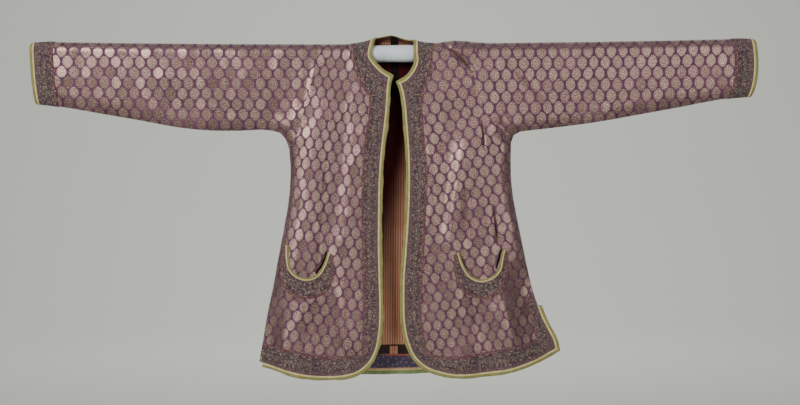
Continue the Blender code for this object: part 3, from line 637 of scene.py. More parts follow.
def cut(outline: Array, lines: Sequence[Array], step: float) -> tuple[Array, Array]:
    """Cuts a piece of cloth into small triangles.

    Args:
        outline: The piece's outline on the cloth.
        lines: Lines that its seams and trims need.
        step: How far apart the points between them lie.

    Returns:
        The points' places and the triangles.
    """
    rings = [np.asarray(outline)] + [np.asarray(line) for line in lines]
    points, edges = [], []
    for i, ring in enumerate(rings):
        start = len(points)
        points += [tuple(p) for p in ring]
        edges += [(start + k, start + k + 1) for k in range(len(ring) - 1)]
        if i == 0:
            edges.append((start + len(ring) - 1, start))
    low, high = rings[0].min(0), rings[0].max(0)
    rows = np.arange(low[1] + step * 0.4, high[1], step * 0.87)
    grid = [(x + (k % 2) * step / 2, w) for k, w in enumerate(rows) for x in np.arange(low[0], high[0], step)]
    grid = np.array(grid)
    grid = grid[in_polygon(grid, rings[0])]
    closed = [np.concatenate([rings[0], rings[0][:1]])] + rings[1:]
    near = np.min([line_distance(grid, ring) for ring in closed], axis=0)
    points += [tuple(p) for p in grid[near > 0.6 * step]]
    made = delaunay_2d_cdt([Vector(p) for p in points], edges, [], 0, 1e-4)
    flat = np.array([tuple(v) for v in made[0]])
    triangles = np.array([tuple(f) for f in made[2] if len(f) == 3])
    return flat, triangles[in_polygon(flat[triangles].mean(1), rings[0])]


def finer(line: Array, step: float) -> Array:
    """The same line with more points along its straight stretches."""
    out = [line[0]]
    for a, b in zip(line[:-1], line[1:]):
        count = max(1, round(float(np.linalg.norm(b - a)) / step))
        out += [a + (b - a) * (k + 1) / count for k in range(count)]
    return np.array(out)


@dataclass
class Grain:
    """Where each place of a hung panel lies on its flat cloth, so that the weave keeps its real size.

    Args:
        side: The layer.
        low: The panel's lowest x.
        high: Its highest x.
        start: The x from which its width is measured.
        turn: How far its grain is turned, in degrees.
        origin: The flat place that is the pattern's zero.
        stretch: How much wider and longer the repeat is than the usual one, near the shoulder.
        foot_stretch: The same near the hem; the usual one where left out.
    """

    side: Side
    low: float
    high: float
    start: float
    turn: float = 0.0
    origin: Pair = (0.0, 0.0)
    stretch: Pair = (1.0, 1.0)
    foot_stretch: Pair = (1.0, 1.0)
    xs: Array = field(init=False)
    ws: Array = field(init=False)
    widths: Array = field(init=False)

    def __post_init__(self) -> None:
        """Measures the hung cloth's width along level lines."""
        self.xs = np.arange(self.low - 2 * GRAIN_STEP, self.high + 2 * GRAIN_STEP, GRAIN_STEP)
        self.ws = np.concatenate([np.linspace(-ARC, 0, 6), np.arange(10, 775, 12.0)])
        x, w = np.meshgrid(self.xs, self.ws)
        points = lift(x.ravel(), w.ravel(), self.side.value, 0.0).reshape(*x.shape, 3)
        steps = np.linalg.norm(np.diff(points[..., [0, 1]], axis=1), axis=2)
        steps = np.minimum(steps, GRAIN_STEP * STEEPEST)
        total = np.concatenate([np.zeros((len(self.ws), 1)), np.cumsum(steps, axis=1)], axis=1)
        zero = np.array([np.interp(self.start, self.xs, row) for row in total])
        self.widths = total - zero[:, None]

    def flat(self, places: Array) -> Array:
        """The flat cloth's coordinates of places on the panel, in millimetres."""
        x, w = places[:, 0], places[:, 1]
        i = np.clip(np.searchsorted(self.ws, w) - 1, 0, len(self.ws) - 2)
        share = np.clip((w - self.ws[i]) / (self.ws[i + 1] - self.ws[i]), 0, 1)
        k = np.clip(((x - self.xs[0]) / GRAIN_STEP).astype(int), 0, len(self.xs) - 2)
        part = np.clip((x - self.xs[k]) / GRAIN_STEP, 0, 1)
        upper = self.widths[i, k] * (1 - part) + self.widths[i, k + 1] * part
        lower = self.widths[i + 1, k] * (1 - part) + self.widths[i + 1, k + 1] * part
        across = upper * (1 - share) + lower * share - self.origin[0]
        down = w - self.origin[1]
        turn = math.radians(self.turn)
        u = across * math.cos(turn) + down * math.sin(turn)
        v = -across * math.sin(turn) + down * math.cos(turn)
        low = np.clip((w - 150) / 500, 0, 1)
        wide = self.stretch[0] + (self.foot_stretch[0] - self.stretch[0]) * low
        tall = self.stretch[1] + (self.foot_stretch[1] - self.stretch[1]) * low
        return np.stack([u / wide, v / tall, np.zeros(len(u))], -1)


def add_piece(
    name: str,
    points: Array,
    faces: Sequence[Sequence[int]],
    finishes: Sequence[Material],
    finish_of: Array | None = None,
    corners: dict[str, Array] | None = None,
    sharp: float = 48.0,
) -> Object:
    """Makes one visible piece that rides on the coat's body.

    Args:
        name: The piece's name.
        points: Its points in millimetres.
        faces: Its faces as rows of point numbers, facing out.
        finishes: Its materials.
        finish_of: The material's number for each face.
        corners: Vectors for each corner of each face, by attribute name.
        sharp: The angle in degrees from which an edge is creased.

    Returns:
        The new object.
    """
    mesh = bpy.data.meshes.new(name)
    mesh.from_pydata([tuple(p) for p in points * MM], [], [tuple(int(i) for i in f) for f in faces])
    for finish in finishes:
        mesh.materials.append(finish)
    if finish_of is not None:
        mesh.polygons.foreach_set("material_index", np.asarray(finish_of, np.int32))
    for key, values in (corners or {}).items():
        layer = mesh.attributes.new(key, "FLOAT_VECTOR", "CORNER")
        layer.data.foreach_set("vector", np.asarray(values, np.float32).ravel())
    mesh.shade_smooth()
    mesh.set_sharp_from_angle(angle=math.radians(sharp))
    mesh.update()
    piece = bpy.data.objects.new(name, mesh)
    bpy.context.scene.collection.objects.link(piece)
    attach(piece, "root")
    LOG.info("%s: %d faces", name, len(mesh.polygons))
    return piece


def shell(
    name: str,
    flat: Array,
    triangles: Array,
    side: Side,
    levels: Pair,
    pattern: Pattern,
    outside: Material,
    inside: Material | None = None,
) -> Object:
    """A thin wall of cloth between two levels over some of a cut piece's triangles.

    Args:
        name: The piece's name.
        flat: The cut's places.
        triangles: The triangles that the wall covers.
        side: The layer.
        levels: Its inner and outer level.
        pattern: Gives the pattern's coordinates for places.
        outside: The material of its outside and rim.
        inside: The material of its inside, where that differs.

    Returns:
        The new object.
    """
    used, numbered = np.unique(triangles, return_inverse=True)
    own = numbered.reshape(-1, 3)
    places = flat[used]
    a, b, c = (flat[triangles[:, k]] for k in range(3))
    turned = (b - a)[:, 0] * (c - a)[:, 1] - (b - a)[:, 1] * (c - a)[:, 0]
    # on the front, x runs right and w down, so a turn that is positive there faces away from the viewer
    flip = turned * side.value < 0
    own[flip] = own[flip][:, ::-1]
    low, high = levels
    outer = lift(places[:, 0], places[:, 1], side.value, high)
    inner = lift(places[:, 0], places[:, 1], side.value, low)
    count = len(used)
    directed = {(int(p), int(q)) for t in own for p, q in zip(t, np.roll(t, -1))}
    rim = [(q, p, p + count, q + count) for p, q in sorted(directed) if (q, p) not in directed]
    faces = [tuple(t) for t in own] + [tuple(t[::-1] + count) for t in own] + rim
    coordinates = pattern(places)
    both = np.concatenate([coordinates, coordinates])
    corners = np.concatenate([both[list(f)] for f in faces])
    finish_of = np.array([0] * len(own) + [1 if inside else 0] * len(own) + [0] * len(rim))
    finishes = [outside] + ([inside] if inside else [])
    return add_piece(name, np.concatenate([outer, inner]), faces, finishes, finish_of, {"cloth": corners})


def turned_over(faces: list[tuple], corners: list) -> tuple[list[tuple], list]:
    """The same four-sided faces, and what their corners hold, in the opposite order."""
    return [f[::-1] for f in faces], [corners[4 * (i // 4) + 3 - i % 4] for i in range(len(corners))]


def strip(name: str, rings: Array, closed: bool, along: Array, finish: Material) -> Object:
    """A trim swept through rings of points.

    Args:
        name: The piece's name.
        rings: For each place along it, the points of its section.
        closed: Whether it closes on itself.
        along: The way along it at each ring, with one more number where it is closed.
        finish: Its material.

    Returns:
        The new object.
    """
    many, around = rings.shape[:2]
    section = rings[many // 2]
    girth = ways_along(np.vstack([section, section[:1]]))
    a, b = rings[many // 2, 0], rings[many // 2, 1]
    faces, corners = [], []
    for i in range(many if closed else many - 1):
        for k in range(around):
            here, there = i * around, (i + 1) % many * around
            after = (k + 1) % around
            faces.append((here + k, here + after, there + after, there + k))
            corners += [
                (along[i], girth[k], 0), (along[i], girth[k + 1], 0),
                (along[i + 1], girth[k + 1], 0), (along[i + 1], girth[k], 0),
            ]
    points = rings.reshape(-1, 3)
    middle = points.reshape(many, around, 3)[many // 2].mean(0)
    first = np.array([points[list(f)] for f in faces[(many // 2) * around:(many // 2 + 1) * around]])
    normals = np.cross(first[:, 1] - first[:, 0], first[:, 2] - first[:, 0])
    outward = float(((first.mean(1) - middle) * normals).sum())
    if outward < 0:
        faces, corners = turned_over(faces, corners)
    if not closed:
        ends = [tuple(range(around)), tuple(range((many - 1) * around, many * around))[::-1]]
        faces += ends if outward < 0 else [end[::-1] for end in ends]
        corners += [(along[0], g, 0) for g in girth[:-1]] + [(along[-1], g, 0) for g in girth[:-1]]
    return add_piece(name, points, faces, [finish], None, {"cloth": np.array(corners)}, 60.0)


def binding_section(width: float) -> list[Pair]:
    """The section of a folded satin binding: way in from the finished edge, and level."""
    under = max(width, BINDING + GAP / 2)
    return [
        (width, 1.3), (width * 0.86, 1.8), (width * 0.55, 1.95), (width * 0.28, 1.7), (0.9, 1.15),
        (0.15, 0.4), (0, -0.4), (0.2, -1.2), (1.1, -1.85), (width * 0.5, -2.15), (under - 2.4, -2.1),
        (under, -2.0),
    ]


# Numbers of the binding's faces on its inside, and of those beside its sewn edge there
BINDING_INSIDE = (8, 9, 10)
BINDING_SEWN = (10,)


def cord_section(start: float, size: float = CORD) -> list[Pair]:
    """The section of a cord sewn flat on the cloth: way in from the finished edge, and level."""
    turns = np.arange(10) * 2 * math.pi / 10
    return [(start + size / 2 * (1 - math.cos(t)), 1.7 + 1.3 * math.sin(t)) for t in turns]


def refinish(
    piece: Object, finish: Material, wanted: Callable[[MeshPolygon], bool]
) -> None:
    """Gives another finish to the faces of a piece that are wanted."""
    piece.data.materials.append(finish)
    last = len(piece.data.materials) - 1
    for face in piece.data.polygons:
        if wanted(face):
            face.material_index = last


def edge_trim(
    name: str,
    path: Array,
    inward: Array,
    section: Points,
    side: Side,
    finish: Material,
    waver: float = 0.0,
) -> Object:
    """A trim along a finished edge of a panel.

    Args:
        name: The piece's name.
        path: The edge's places.
        inward: For each the way into the cloth.
        section: The trim's section.
        side: The layer.
        finish: Its material.
        waver: How far its outer edge wanders from side to side.

    Returns:
        The new object.
    """
    along = ways_along(path)
    slow = np.sin(along / 9.7) * 0.6 + np.sin(along / 23.0 + 1.1) * 0.7
    wander = waver * (slow + np.sin(along / 4.9 + 2.0) * 0.25)
    width = max(way for way, _ in section)
    columns = []
    for way, level in section:
        share = 1 - way / width if waver else 0.0
        places = path + inward * (way + wander * share)[:, None]
        point = lift(places[:, 0], places[:, 1], side.value, level + wander * share * 0.4)
        columns.append(point)
    return strip(name, np.stack(columns, 1), False, along, finish)


def linear(colour: str) -> tuple[float, float, float, float]:
    """An sRGB hex colour as linear light with full alpha."""
    parts = [int(colour[i:i + 2], 16) / 255 for i in (1, 3, 5)]
    light = [c / 12.92 if c <= 0.04045 else ((c + 0.055) / 1.055) ** 2.4 for c in parts]
    return (light[0], light[1], light[2], 1.0)


def add_node(
    tree: NodeTree,
    kind: str,
    inputs: dict[int | str, object] | None = None,
    out: int | str = 0,
    **settings: object,
) -> NodeSocket:
    """Adds a node with its settings and links.

    Args:
        tree: The material's tree.
        kind: The node's type, without its beginning ShaderNode.
        inputs: Values or sockets for its inputs, by number or name.
        out: The output that is wanted.
        settings: Its own settings.

    Returns:
        The output's socket.
    """
    node = tree.nodes.new("ShaderNode" + kind)
    for key, value in settings.items():
        setattr(node, key, value)
    for key, value in (inputs or {}).items():
        if isinstance(value, NodeSocket):
            tree.links.new(value, node.inputs[key])
        else:
            node.inputs[key].default_value = value
    return node.outputs[out]


def add_ramp(
    tree: NodeTree, value: NodeSocket, stops: Sequence[tuple[float, str]], steps: bool = False
) -> NodeSocket:
    """Colours along a value: each stop is a place and an sRGB colour.

    Args:
        tree: The material's tree.
        value: The value that picks the colour.
        stops: Places from 0 to 1 and colours.
        steps: Whether the colours change in hard steps.

    Returns:
        The colour's socket.
    """
    colour = add_node(tree, "ValToRGB", {0: value})
    ramp = colour.node.color_ramp
    ramp.interpolation = "CONSTANT" if steps else "LINEAR"
    while len(ramp.elements) < len(stops):
        ramp.elements.new(0.5)
    for element, (place, shade) in zip(ramp.elements, stops):
        element.position = place
        element.color = linear(shade)
    return colour


def new_finish(name: str, **values: float) -> tuple[Material, NodeTree, Node]:
    """Starts a material.

    Args:
        name: The material's name.
        values: Numbers for the shader's own sockets, with _ for a space.

    Returns:
        The material, its tree and its shader.
    """
    material = bpy.data.materials.new(name)
    material.use_nodes = True
    tree = material.node_tree
    shader = tree.nodes["Principled BSDF"]
    for key, value in values.items():
        shader.inputs[key.replace("_", " ")].default_value = value
    return material, tree, shader


def add_bump(tree: NodeTree, shader: Node, height: NodeSocket, depth: float) -> None:
    """Lets a height of 0 to 1 stand out by a depth in metres."""
    bump = add_node(tree, "Bump", {"Height": height, "Distance": depth, "Strength": 1.0}, "Normal")
    tree.links.new(bump, shader.inputs["Normal"])


def cloth_place(tree: NodeTree) -> NodeSocket:
    """The place on the flat cloth, in millimetres, that every pattern is drawn from."""
    return add_node(tree, "Attribute", out="Vector", attribute_name="cloth")


def add_math(tree: NodeTree, operation: str, *values: float | NodeSocket) -> NodeSocket:
    """Adds a sum, product or other operation on numbers."""
    return add_node(tree, "Math", dict(enumerate(values)), operation=operation)


def add_vector(
    tree: NodeTree, operation: str, *values: Place | NodeSocket, out: str = "Vector"
) -> NodeSocket:
    """Adds an operation on vectors, which gives a vector or, as Value, a number."""
    return add_node(tree, "VectorMath", dict(enumerate(values)), out, operation=operation)


def add_range(
    tree: NodeTree, value: NodeSocket, low: float, high: float, first: float, last: float,
    kind: str = "LINEAR",
) -> NodeSocket:
    """Turns a value that goes from low to high into one that goes from first to last."""
    ends = {0: value, 1: low, 2: high, 3: first, 4: last}
    return add_node(tree, "MapRange", ends, interpolation_type=kind)


def add_noise(tree: NodeTree, place: NodeSocket, scale: float, detail: float) -> NodeSocket:
    """Adds a cloudy pattern of 0 to 1."""
    return add_node(tree, "TexNoise", {"Vector": place, "Scale": scale, "Detail": detail})


def add_cells(
    tree: NodeTree, place: NodeSocket, step: float, spread: float = 1.0, out: str = "Distance"
) -> NodeSocket:
    """Adds a pattern of scattered cells about a step apart, by distance from their middles or by colour."""
    inputs = {"Vector": place, "Scale": 1 / step, "Randomness": spread}
    return add_node(tree, "TexVoronoi", inputs, out, voronoi_dimensions="2D")


def add_mix(
    tree: NodeTree, share: float | NodeSocket, first: NodeSocket, second: NodeSocket | tuple[float, ...]
) -> NodeSocket:
    """Blends the second colour over the first by a share."""
    return add_node(tree, "Mix", {0: share, 6: first, 7: second}, 2, data_type="RGBA")


@dataclass(frozen=True)
class MedallionBrocade:
    """Silk brocade: a purple satin ground with staggered oval medallions in gilt thread.

    Satin gives the ground a soft sheen. Gilt strip wound on silk is half metallic, so a medallion is cream
    where it faces the light and brown where it doesn't, and each one lies at its own slight angle.
    """

    name: str = "medallion_brocade"
    across: float = 27.0
    row: float = 23.5
    half_width: float = 11.1
    half_height: float = 14.0
    ground: str = "#60304f"
    ground_dark: str = "#4a233c"
    ground_light: str = "#7d5069"
    gilt_dark: str = "#5e4a45"
    gilt_dull: str = "#8d736b"
    gilt: str = "#b3968a"
    gilt_bright: str = "#eed8bf"
    gilt_rim: str = "#8a6674"

    def material(self) -> Material:
        """Builds the brocade's material."""
        material, tree, shader = new_finish(self.name, Sheen_Weight=0.12, Sheen_Roughness=0.4, IOR=1.5)
        cloth = cloth_place(tree)
        # the repeat drifts by up to a millimetre, as hand-beaten weft does
        drift = add_node(tree, "TexNoise", {"Vector": cloth, "Scale": 0.03, "Detail": 1.0}, "Color")
        drift = add_vector(tree, "SUBTRACT", drift, (0.5, 0.5, 0.5))
        drift = add_node(tree, "VectorMath", {0: drift, "Scale": 5.0}, operation="SCALE")
        placed = add_vector(tree, "ADD", cloth, drift)
        cell = (self.across, 2 * self.row, 1.0)
        first = add_vector(tree, "DIVIDE", placed, cell)
        second = add_vector(tree, "ADD", first, (0.5, 0.5, 0.0))
        locals_, names, lengths = [], [], []
        for grid, number in ((first, 0.0), (second, 431.0)):
            part = add_vector(tree, "FRACTION", grid)
            part = add_vector(tree, "SUBTRACT", part, (0.5, 0.5, 0.0))
            size = (cell[0] / self.half_width, cell[1] / self.half_height, 0.0)
            part = add_vector(tree, "MULTIPLY", part, size)
            locals_.append(part)
            lengths.append(add_vector(tree, "LENGTH", part, out="Value"))
            whole = add_vector(tree, "FLOOR", grid)
            whole = add_vector(tree, "ADD", whole, (number, 0.5, 0.0))
            names.append(whole)
        nearer = add_math(tree, "LESS_THAN", lengths[1], lengths[0])
        local, label = (
            add_node(tree, "Mix", {0: nearer, 4: far, 5: close}, 1, data_type="VECTOR")
            for far, close in (locals_, names)
        )
        reach = add_math(tree, "MINIMUM", lengths[0], lengths[1])
        parts = add_node(tree, "SeparateXYZ", {0: local}, 0).node
        angle = add_math(tree, "ARCTAN2", parts.outputs[1], parts.outputs[0])
        # pointed like a leaf at four sides, with a scalloped edge of fourteen small lobes
        points = add_math(tree, "MULTIPLY", angle, 4.0)
        points = add_math(tree, "COSINE", points)
        lobes = add_math(tree, "MULTIPLY", angle, 14.0)
        lobes = add_math(tree, "COSINE", lobes)
        edge = add_math(tree, "MULTIPLY_ADD", points, -0.02, reach)
        edge = add_math(tree, "MULTIPLY_ADD", lobes, -0.022, edge)
        mask = add_range(tree, edge, 0.92, 1.02, 1.0, 0.0, "SMOOTHSTEP")
        own = add_node(tree, "TexWhiteNoise", {"Vector": label}, "Value", noise_dimensions="2D")
        tilt = own.node.outputs["Color"]
        # lace of petals inside each medallion
        petals = add_math(tree, "MULTIPLY", angle, 7.0)
        petals = add_math(tree, "COSINE", petals)
        rings = add_math(tree, "MULTIPLY_ADD", reach, 15.0, petals)
        lace = add_math(tree, "SINE", rings)
        # gilt threads, drawn at 1.3 mm where the real ones are 0.3 mm, so that they show
        thread = add_node(
            tree, "TexNoise", {"Vector": cloth, "Scale": 0.34, "Detail": 3.0, "Roughness": 0.75}, 0
        )
        speckle = add_range(tree, thread, 0.36, 0.64, 0.0, 0.75)
        grain = add_math(tree, "MULTIPLY_ADD", lace, 0.09, speckle)
        tone = add_math(tree, "MULTIPLY_ADD", own, 0.2, grain)
        gilt = add_ramp(
            tree, tone,
            [(0.1, self.gilt_dark), (0.4, self.gilt_dull), (0.7, self.gilt), (1.0, self.gilt_bright)],
        )
        # silk shows through at the rim
        rim = add_range(tree, edge, 0.6, 1.0, 0.0, 0.5)
        gilt = add_mix(tree, rim, gilt, linear(self.gilt_rim))
        cloudy = add_noise(tree, cloth, 0.011, 2.0)
        silks = [(0.3, self.ground_dark), (0.55, self.ground), (0.8, self.ground_light)]
        silk = add_ramp(tree, cloudy, silks)
        colour = add_mix(tree, mask, silk, gilt)
        tree.links.new(colour, shader.inputs["Base Color"])
        metal = add_math(tree, "MULTIPLY", mask, 0.85)
        tree.links.new(metal, shader.inputs["Metallic"])
        rough = add_range(tree, thread, 0.3, 0.7, 0.32, 0.47)
        rough = add_node(tree, "Mix", {0: mask, 2: 0.6, 3: rough}, 0, data_type="FLOAT")
        tree.links.new(rough, shader.inputs["Roughness"])
        # each medallion leans its own way, by up to about five degrees
        lean = add_vector(tree, "SUBTRACT", tilt, (0.5, 0.5, 0.5))
        slope = add_vector(tree, "DOT_PRODUCT", lean, local, out="Value")
        height = add_math(tree, "MULTIPLY_ADD", slope, 1.7, 0.35)
        height = add_math(tree, "MULTIPLY", height, mask)
        height = add_math(tree, "MULTIPLY_ADD", thread, 0.35, height)
        add_bump(tree, shader, height, 0.001)
        return material


@dataclass(frozen=True)
class SpeckledBorder:
    """Woven wool and silk border, closely patterned with small many-coloured flowers.

    Its speckle of navy, grey-green, mauve and cream reads as a dark, matt band with two thin red lines at its
    inner edge.
    """

    name: str = "speckled_border"
    speck: float = 2.3
    flower_step: float = 22.0
    flower_row: float = 31.0
    base: str = "#614a49"
    line: str = "#8a4148"
    mauve: str = "#6d5158"

    def material(self) -> Material:
        """Builds the border's material."""
        material, tree, shader = new_finish(self.name, Roughness=0.82, Sheen_Weight=0.1, IOR=1.46)
        cloth = cloth_place(tree)
        parts = add_node(tree, "SeparateXYZ", {0: cloth}, 0).node
        along, across, within = parts.outputs
        specks = add_cells(tree, cloth, self.speck, out="Color")
        pick = add_node(tree, "SeparateXYZ", {0: specks}, 0)
        palette = [
            (0.0, "#1b1623"), (0.17, "#676156"), (0.3, "#38272f"), (0.44, "#987e73"), (0.54, "#563b53"),
            (0.67, "#21212c"), (0.8, "#734045"), (0.86, "#676860"), (0.96, "#b49987"),
        ]
        colour = add_ramp(tree, pick, palette, steps=True)
        ground = add_mix(tree, 0.3, colour, linear(self.base))
        # larger flowers, one after the other along the band
        beat = add_math(tree, "PINGPONG", along, self.flower_step / 2)
        beat = add_math(tree, "SUBTRACT", beat, self.flower_step / 4)
        middle = add_math(tree, "ADD", across, -self.flower_row)
        spot = add_node(tree, "CombineXYZ", {0: beat, 1: middle})
        size = add_vector(tree, "LENGTH", spot, out="Value")
        bloom = add_range(tree, size, 3.0, 6.5, 0.3, 0.0, "SMOOTHSTEP")
        wide = add_noise(tree, cloth, 0.045, 1.0)
        petal = add_ramp(tree, wide, [(0.35, "#697064"), (0.5, "#8c7466"), (0.65, "#5b475b")])
        colour = add_mix(tree, bloom, ground, petal)
        outer = add_range(tree, across, 15.0, 21.0, 0.5, 0.0)
        colour = add_mix(tree, outer, colour, linear(self.mauve))
        # two red lines at the inner edge
        for place in (2.2, 4.9):
            line = add_math(tree, "COMPARE", within, place, 0.55)
            line = add_math(tree, "MULTIPLY", line, 0.72)
            colour = add_mix(tree, line, colour, linear(self.line))
        tree.links.new(colour, shader.inputs["Base Color"])
        thread = add_noise(tree, cloth, 0.7, 2.0)
        add_bump(tree, shader, thread, 0.0006)
        return material


@dataclass(frozen=True)
class SatinRibbon:
    """Plain silk satin, cut on the bias and folded: a soft sheen with slight puckers along the stitching.

    Args:
        name: The material's name.
        colour: Its usual colour.
        shade: Its colour in worn and soiled places.
    """

    name: str
    colour: str
    shade: str

    def material(self) -> Material:
        """Builds the ribbon's material."""
        material, tree, shader = new_finish(self.name, Roughness=0.55, Sheen_Weight=0.15, IOR=1.5)
        cloth = cloth_place(tree)
        cloudy = add_noise(tree, cloth, 0.05, 3.0)
        colour = add_ramp(tree, cloudy, [(0.3, self.shade), (0.65, self.colour)])
        tree.links.new(colour, shader.inputs["Base Color"])
        # puckers 5 mm apart over the stitches, and a fine twill
        pucker = add_node(tree, "Mapping", {0: cloth, 3: (0.2, 0.06, 1.0)})
        pucker = add_noise(tree, pucker, 1.0, 2.0)
        weave = {"Vector": cloth, "Scale": 0.5}
        twill = add_node(tree, "TexWave", weave, 1, bands_direction="DIAGONAL")
        height = add_math(tree, "MULTIPLY_ADD", twill, 0.08, pucker)
        add_bump(tree, shader, height, 0.0012)
        return material


@dataclass(frozen=True)
class TwistedCord:
    """Piping of light yellow silk over a twisted cotton cord, which shows as fine slanting ridges."""

    name: str = "twisted_cord"
    colour: str = "#f0e09a"
    shade: str = "#cbb870"
    twist: float = 2.4

    def material(self) -> Material:
        """Builds the cord's material."""
        material, tree, shader = new_finish(self.name, Roughness=0.6, Sheen_Weight=0.1, IOR=1.5)
        cloth = cloth_place(tree)
        wave = add_node(
            tree, "TexWave", {"Vector": cloth, "Scale": math.pi / 10 / self.twist * 2}, 1,
            bands_direction="DIAGONAL",
        )
        cloudy = add_noise(tree, cloth, 0.06, 3.0)
        mixed = add_math(tree, "MULTIPLY_ADD", wave, 0.25, cloudy)
        colour = add_ramp(tree, mixed, [(0.35, self.shade), (0.75, self.colour)])
        tree.links.new(colour, shader.inputs["Base Color"])
        add_bump(tree, shader, wave, 0.0004)
        return material


@dataclass(frozen=True)
class StripedCotton:
    """Handwoven cotton lining: orange with dark red warp stripes 3.9 mm apart.

    Args:
        shaded_top: Whether it carries painted shade for the shadow inside the coat: near-black from the neck
            down to the chest.
    """

    name: str = "striped_cotton"
    shaded_top: bool = False
    stripe: float = 3.9
    light: str = "#f6c09d"
    dark: str = "#984f3f"
    soiled: str = "#b8775a"
    # colour of the painted shade near the lining's top
    black: str = "#3c0c10"

    def material(self) -> Material:
        """Builds the lining's material."""
        material, tree, shader = new_finish(self.name, Roughness=0.85, Sheen_Weight=0.05, IOR=1.25)
        cloth = cloth_place(tree)
        wave = add_node(
            tree, "TexWave",
            {"Vector": cloth, "Scale": math.pi / 10 / self.stripe, "Distortion": 0.6, "Detail Scale": 0.3}, 1,
            bands_direction="X",
        )
        colour = add_ramp(tree, wave, [(0.3, self.dark), (0.5, self.light)])
        cloudy = add_noise(tree, cloth, 0.02, 3.0)
        amount = add_range(tree, cloudy, 0.45, 0.75, 0.0, 0.5)
        colour = add_mix(tree, amount, colour, linear(self.soiled))
        if self.shaded_top:
            # painted shade for the shadow inside the coat: near-black from the neck down, reaching lower at
            # the left than at the right, and lighter again above the rod
            parts = add_node(tree, "SeparateXYZ", {0: cloth}, 0).node
            foot = add_math(tree, "MULTIPLY_ADD", parts.outputs[0], 3.2, parts.outputs[1])
            below = add_range(tree, foot, 230.0, 560.0, 1.0, 0.0, "SMOOTHSTEP")
            above = add_range(tree, parts.outputs[1], -14.0, 4.0, 0.55, 1.0)
            painted_shade = add_math(tree, "MULTIPLY", below, above)
            colour = add_mix(tree, painted_shade, colour, linear(self.black))
        tree.links.new(colour, shader.inputs["Base Color"])
        thread = add_noise(tree, cloth, 0.9, 2.0)
        add_bump(tree, shader, thread, 0.0004)
        return material


@dataclass(frozen=True)
class PrintedCotton:
    """Dark blue block-printed cotton with small pink and blue-green sprigs 11 mm apart."""

    name: str = "printed_cotton"
    base: str = "#463e50"
    line: str = "#b3594e"
    step: float = 11.0

    def material(self) -> Material:
        """Builds the facing's material."""
        material, tree, shader = new_finish(self.name, Roughness=0.85, IOR=1.46)
        cloth = cloth_place(tree)
        cells = add_cells(tree, cloth, self.step, 0.7)
        fine = add_cells(tree, cloth, self.step / 2.6, 0.6)
        pinks = [(0.0, "#94697c"), (0.2, "#755069"), (0.28, self.base), (1.0, self.base)]
        sprig = add_ramp(tree, cells, pinks)
        leaf = add_range(tree, fine, 0.2, 0.28, 0.5, 0.0)
        colour = add_mix(tree, leaf, sprig, linear("#64748a"))
        # a red line along part of its upper edge
        parts = add_node(tree, "SeparateXYZ", {0: cloth}, 0).node
        line = add_math(tree, "COMPARE", parts.outputs[1], 689.4, 1.3)
        reach = add_math(tree, "GREATER_THAN", parts.outputs[0], -24.0)
        line = add_math(tree, "MULTIPLY", line, reach)
        colour = add_mix(tree, line, colour, linear(self.line))
        tree.links.new(colour, shader.inputs["Base Color"])
        thread = add_noise(tree, cloth, 0.9, 2.0)
        add_bump(tree, shader, thread, 0.0003)
        return material


@dataclass(frozen=True)
class PlainCotton:
    """Plain woven cotton, matt and slightly uneven.

    Args:
        name: The material's name.
        colour: Its usual colour.
        shade: Its colour in soiled places.
        rough: Its roughness.
        seam: How far a seam that winds round a rod travels in one turn; none where 0.
        girth: The way round that rod.
        start: Where the seam begins, as a share of a turn.
    """

    name: str
    colour: str
    shade: str
    rough: float = 0.85
    seam: float = 0.0
    girth: float = 120.5
    start: float = 0.144

    def material(self) -> Material:
        """Builds the cotton's material."""
        material, tree, shader = new_finish(self.name, Roughness=self.rough, IOR=1.25)
        cloth = cloth_place(tree)
        cloudy = add_noise(tree, cloth, 0.025, 3.0)
        colour = add_ramp(tree, cloudy, [(0.3, self.shade), (0.6, self.colour)])
        if self.seam:
            turns = add_vector(tree, "DOT_PRODUCT", cloth, (1 / self.seam, 1 / self.girth, 0.0), out="Value")
            turns = add_math(tree, "FRACT", turns)
            line = add_math(tree, "COMPARE", turns, self.start, 0.007)
            line = add_math(tree, "MULTIPLY", line, 0.4)
            colour = add_mix(tree, line, colour, linear("#59636f"))
        tree.links.new(colour, shader.inputs["Base Color"])
        # a thread each 0.8 mm, drawn at 1.6 mm so that it shows
        thread = add_node(tree, "TexChecker", {"Vector": cloth, "Scale": 1 / 1.6}, "Fac")
        folds = add_noise(tree, cloth, 0.05, 2.0)
        height = add_math(tree, "MULTIPLY_ADD", thread, 0.06, folds)
        add_bump(tree, shader, height, 0.002)
        return material


class Finishes:
    """All the coat's materials, built once."""

    def __init__(self) -> None:
        """Builds each material."""
        self.brocade = MedallionBrocade().material()
        self.border = SpeckledBorder().material()
        self.binding = SatinRibbon("olive_satin", "#969355", "#7c7842").material()
        self.hem_binding = SatinRibbon("green_satin", "#86995f", "#6d804a").material()
        self.cord = TwistedCord().material()
        self.lining = StripedCotton().material()
        # the lining inside the back, with painted shade from the neck down to the chest
        self.shaded_lining = StripedCotton("shaded_striped_cotton", True).material()
        # a darker copy of the striped lining, painted shade for the inside of the neck
        self.shaded_neck_lining = StripedCotton("shaded_neck_striped_cotton", light="#522c27", dark="#281110").material()
        self.facing = PrintedCotton().material()
        self.black = PlainCotton("black_cotton", "#3a2f2d", "#483a34").material()
        # black tape, also laid in the gaping pocket mouths as painted shade
        self.tape_and_gap_shade = PlainCotton("black_tape_and_gap_shade", "#120a0b", "#1a0e0f").material()
        self.muslin = PlainCotton("white_muslin", "#eef4fb", "#d9e2ec", 0.9, 66.0).material()


def crossing(x_at: Way, shift: float) -> float:
    """How far down an armhole or cuff line meets the underside of the sleeve."""
    low, high = 60.0, 230.0
    for _ in range(40):
        middle = (low + high) / 2
        x = np.array([x_at(middle) + shift])
        if side_distance(x, rod_rise(x) - middle)[0] > 0:
            low = middle
        else:
            high = middle
    return low


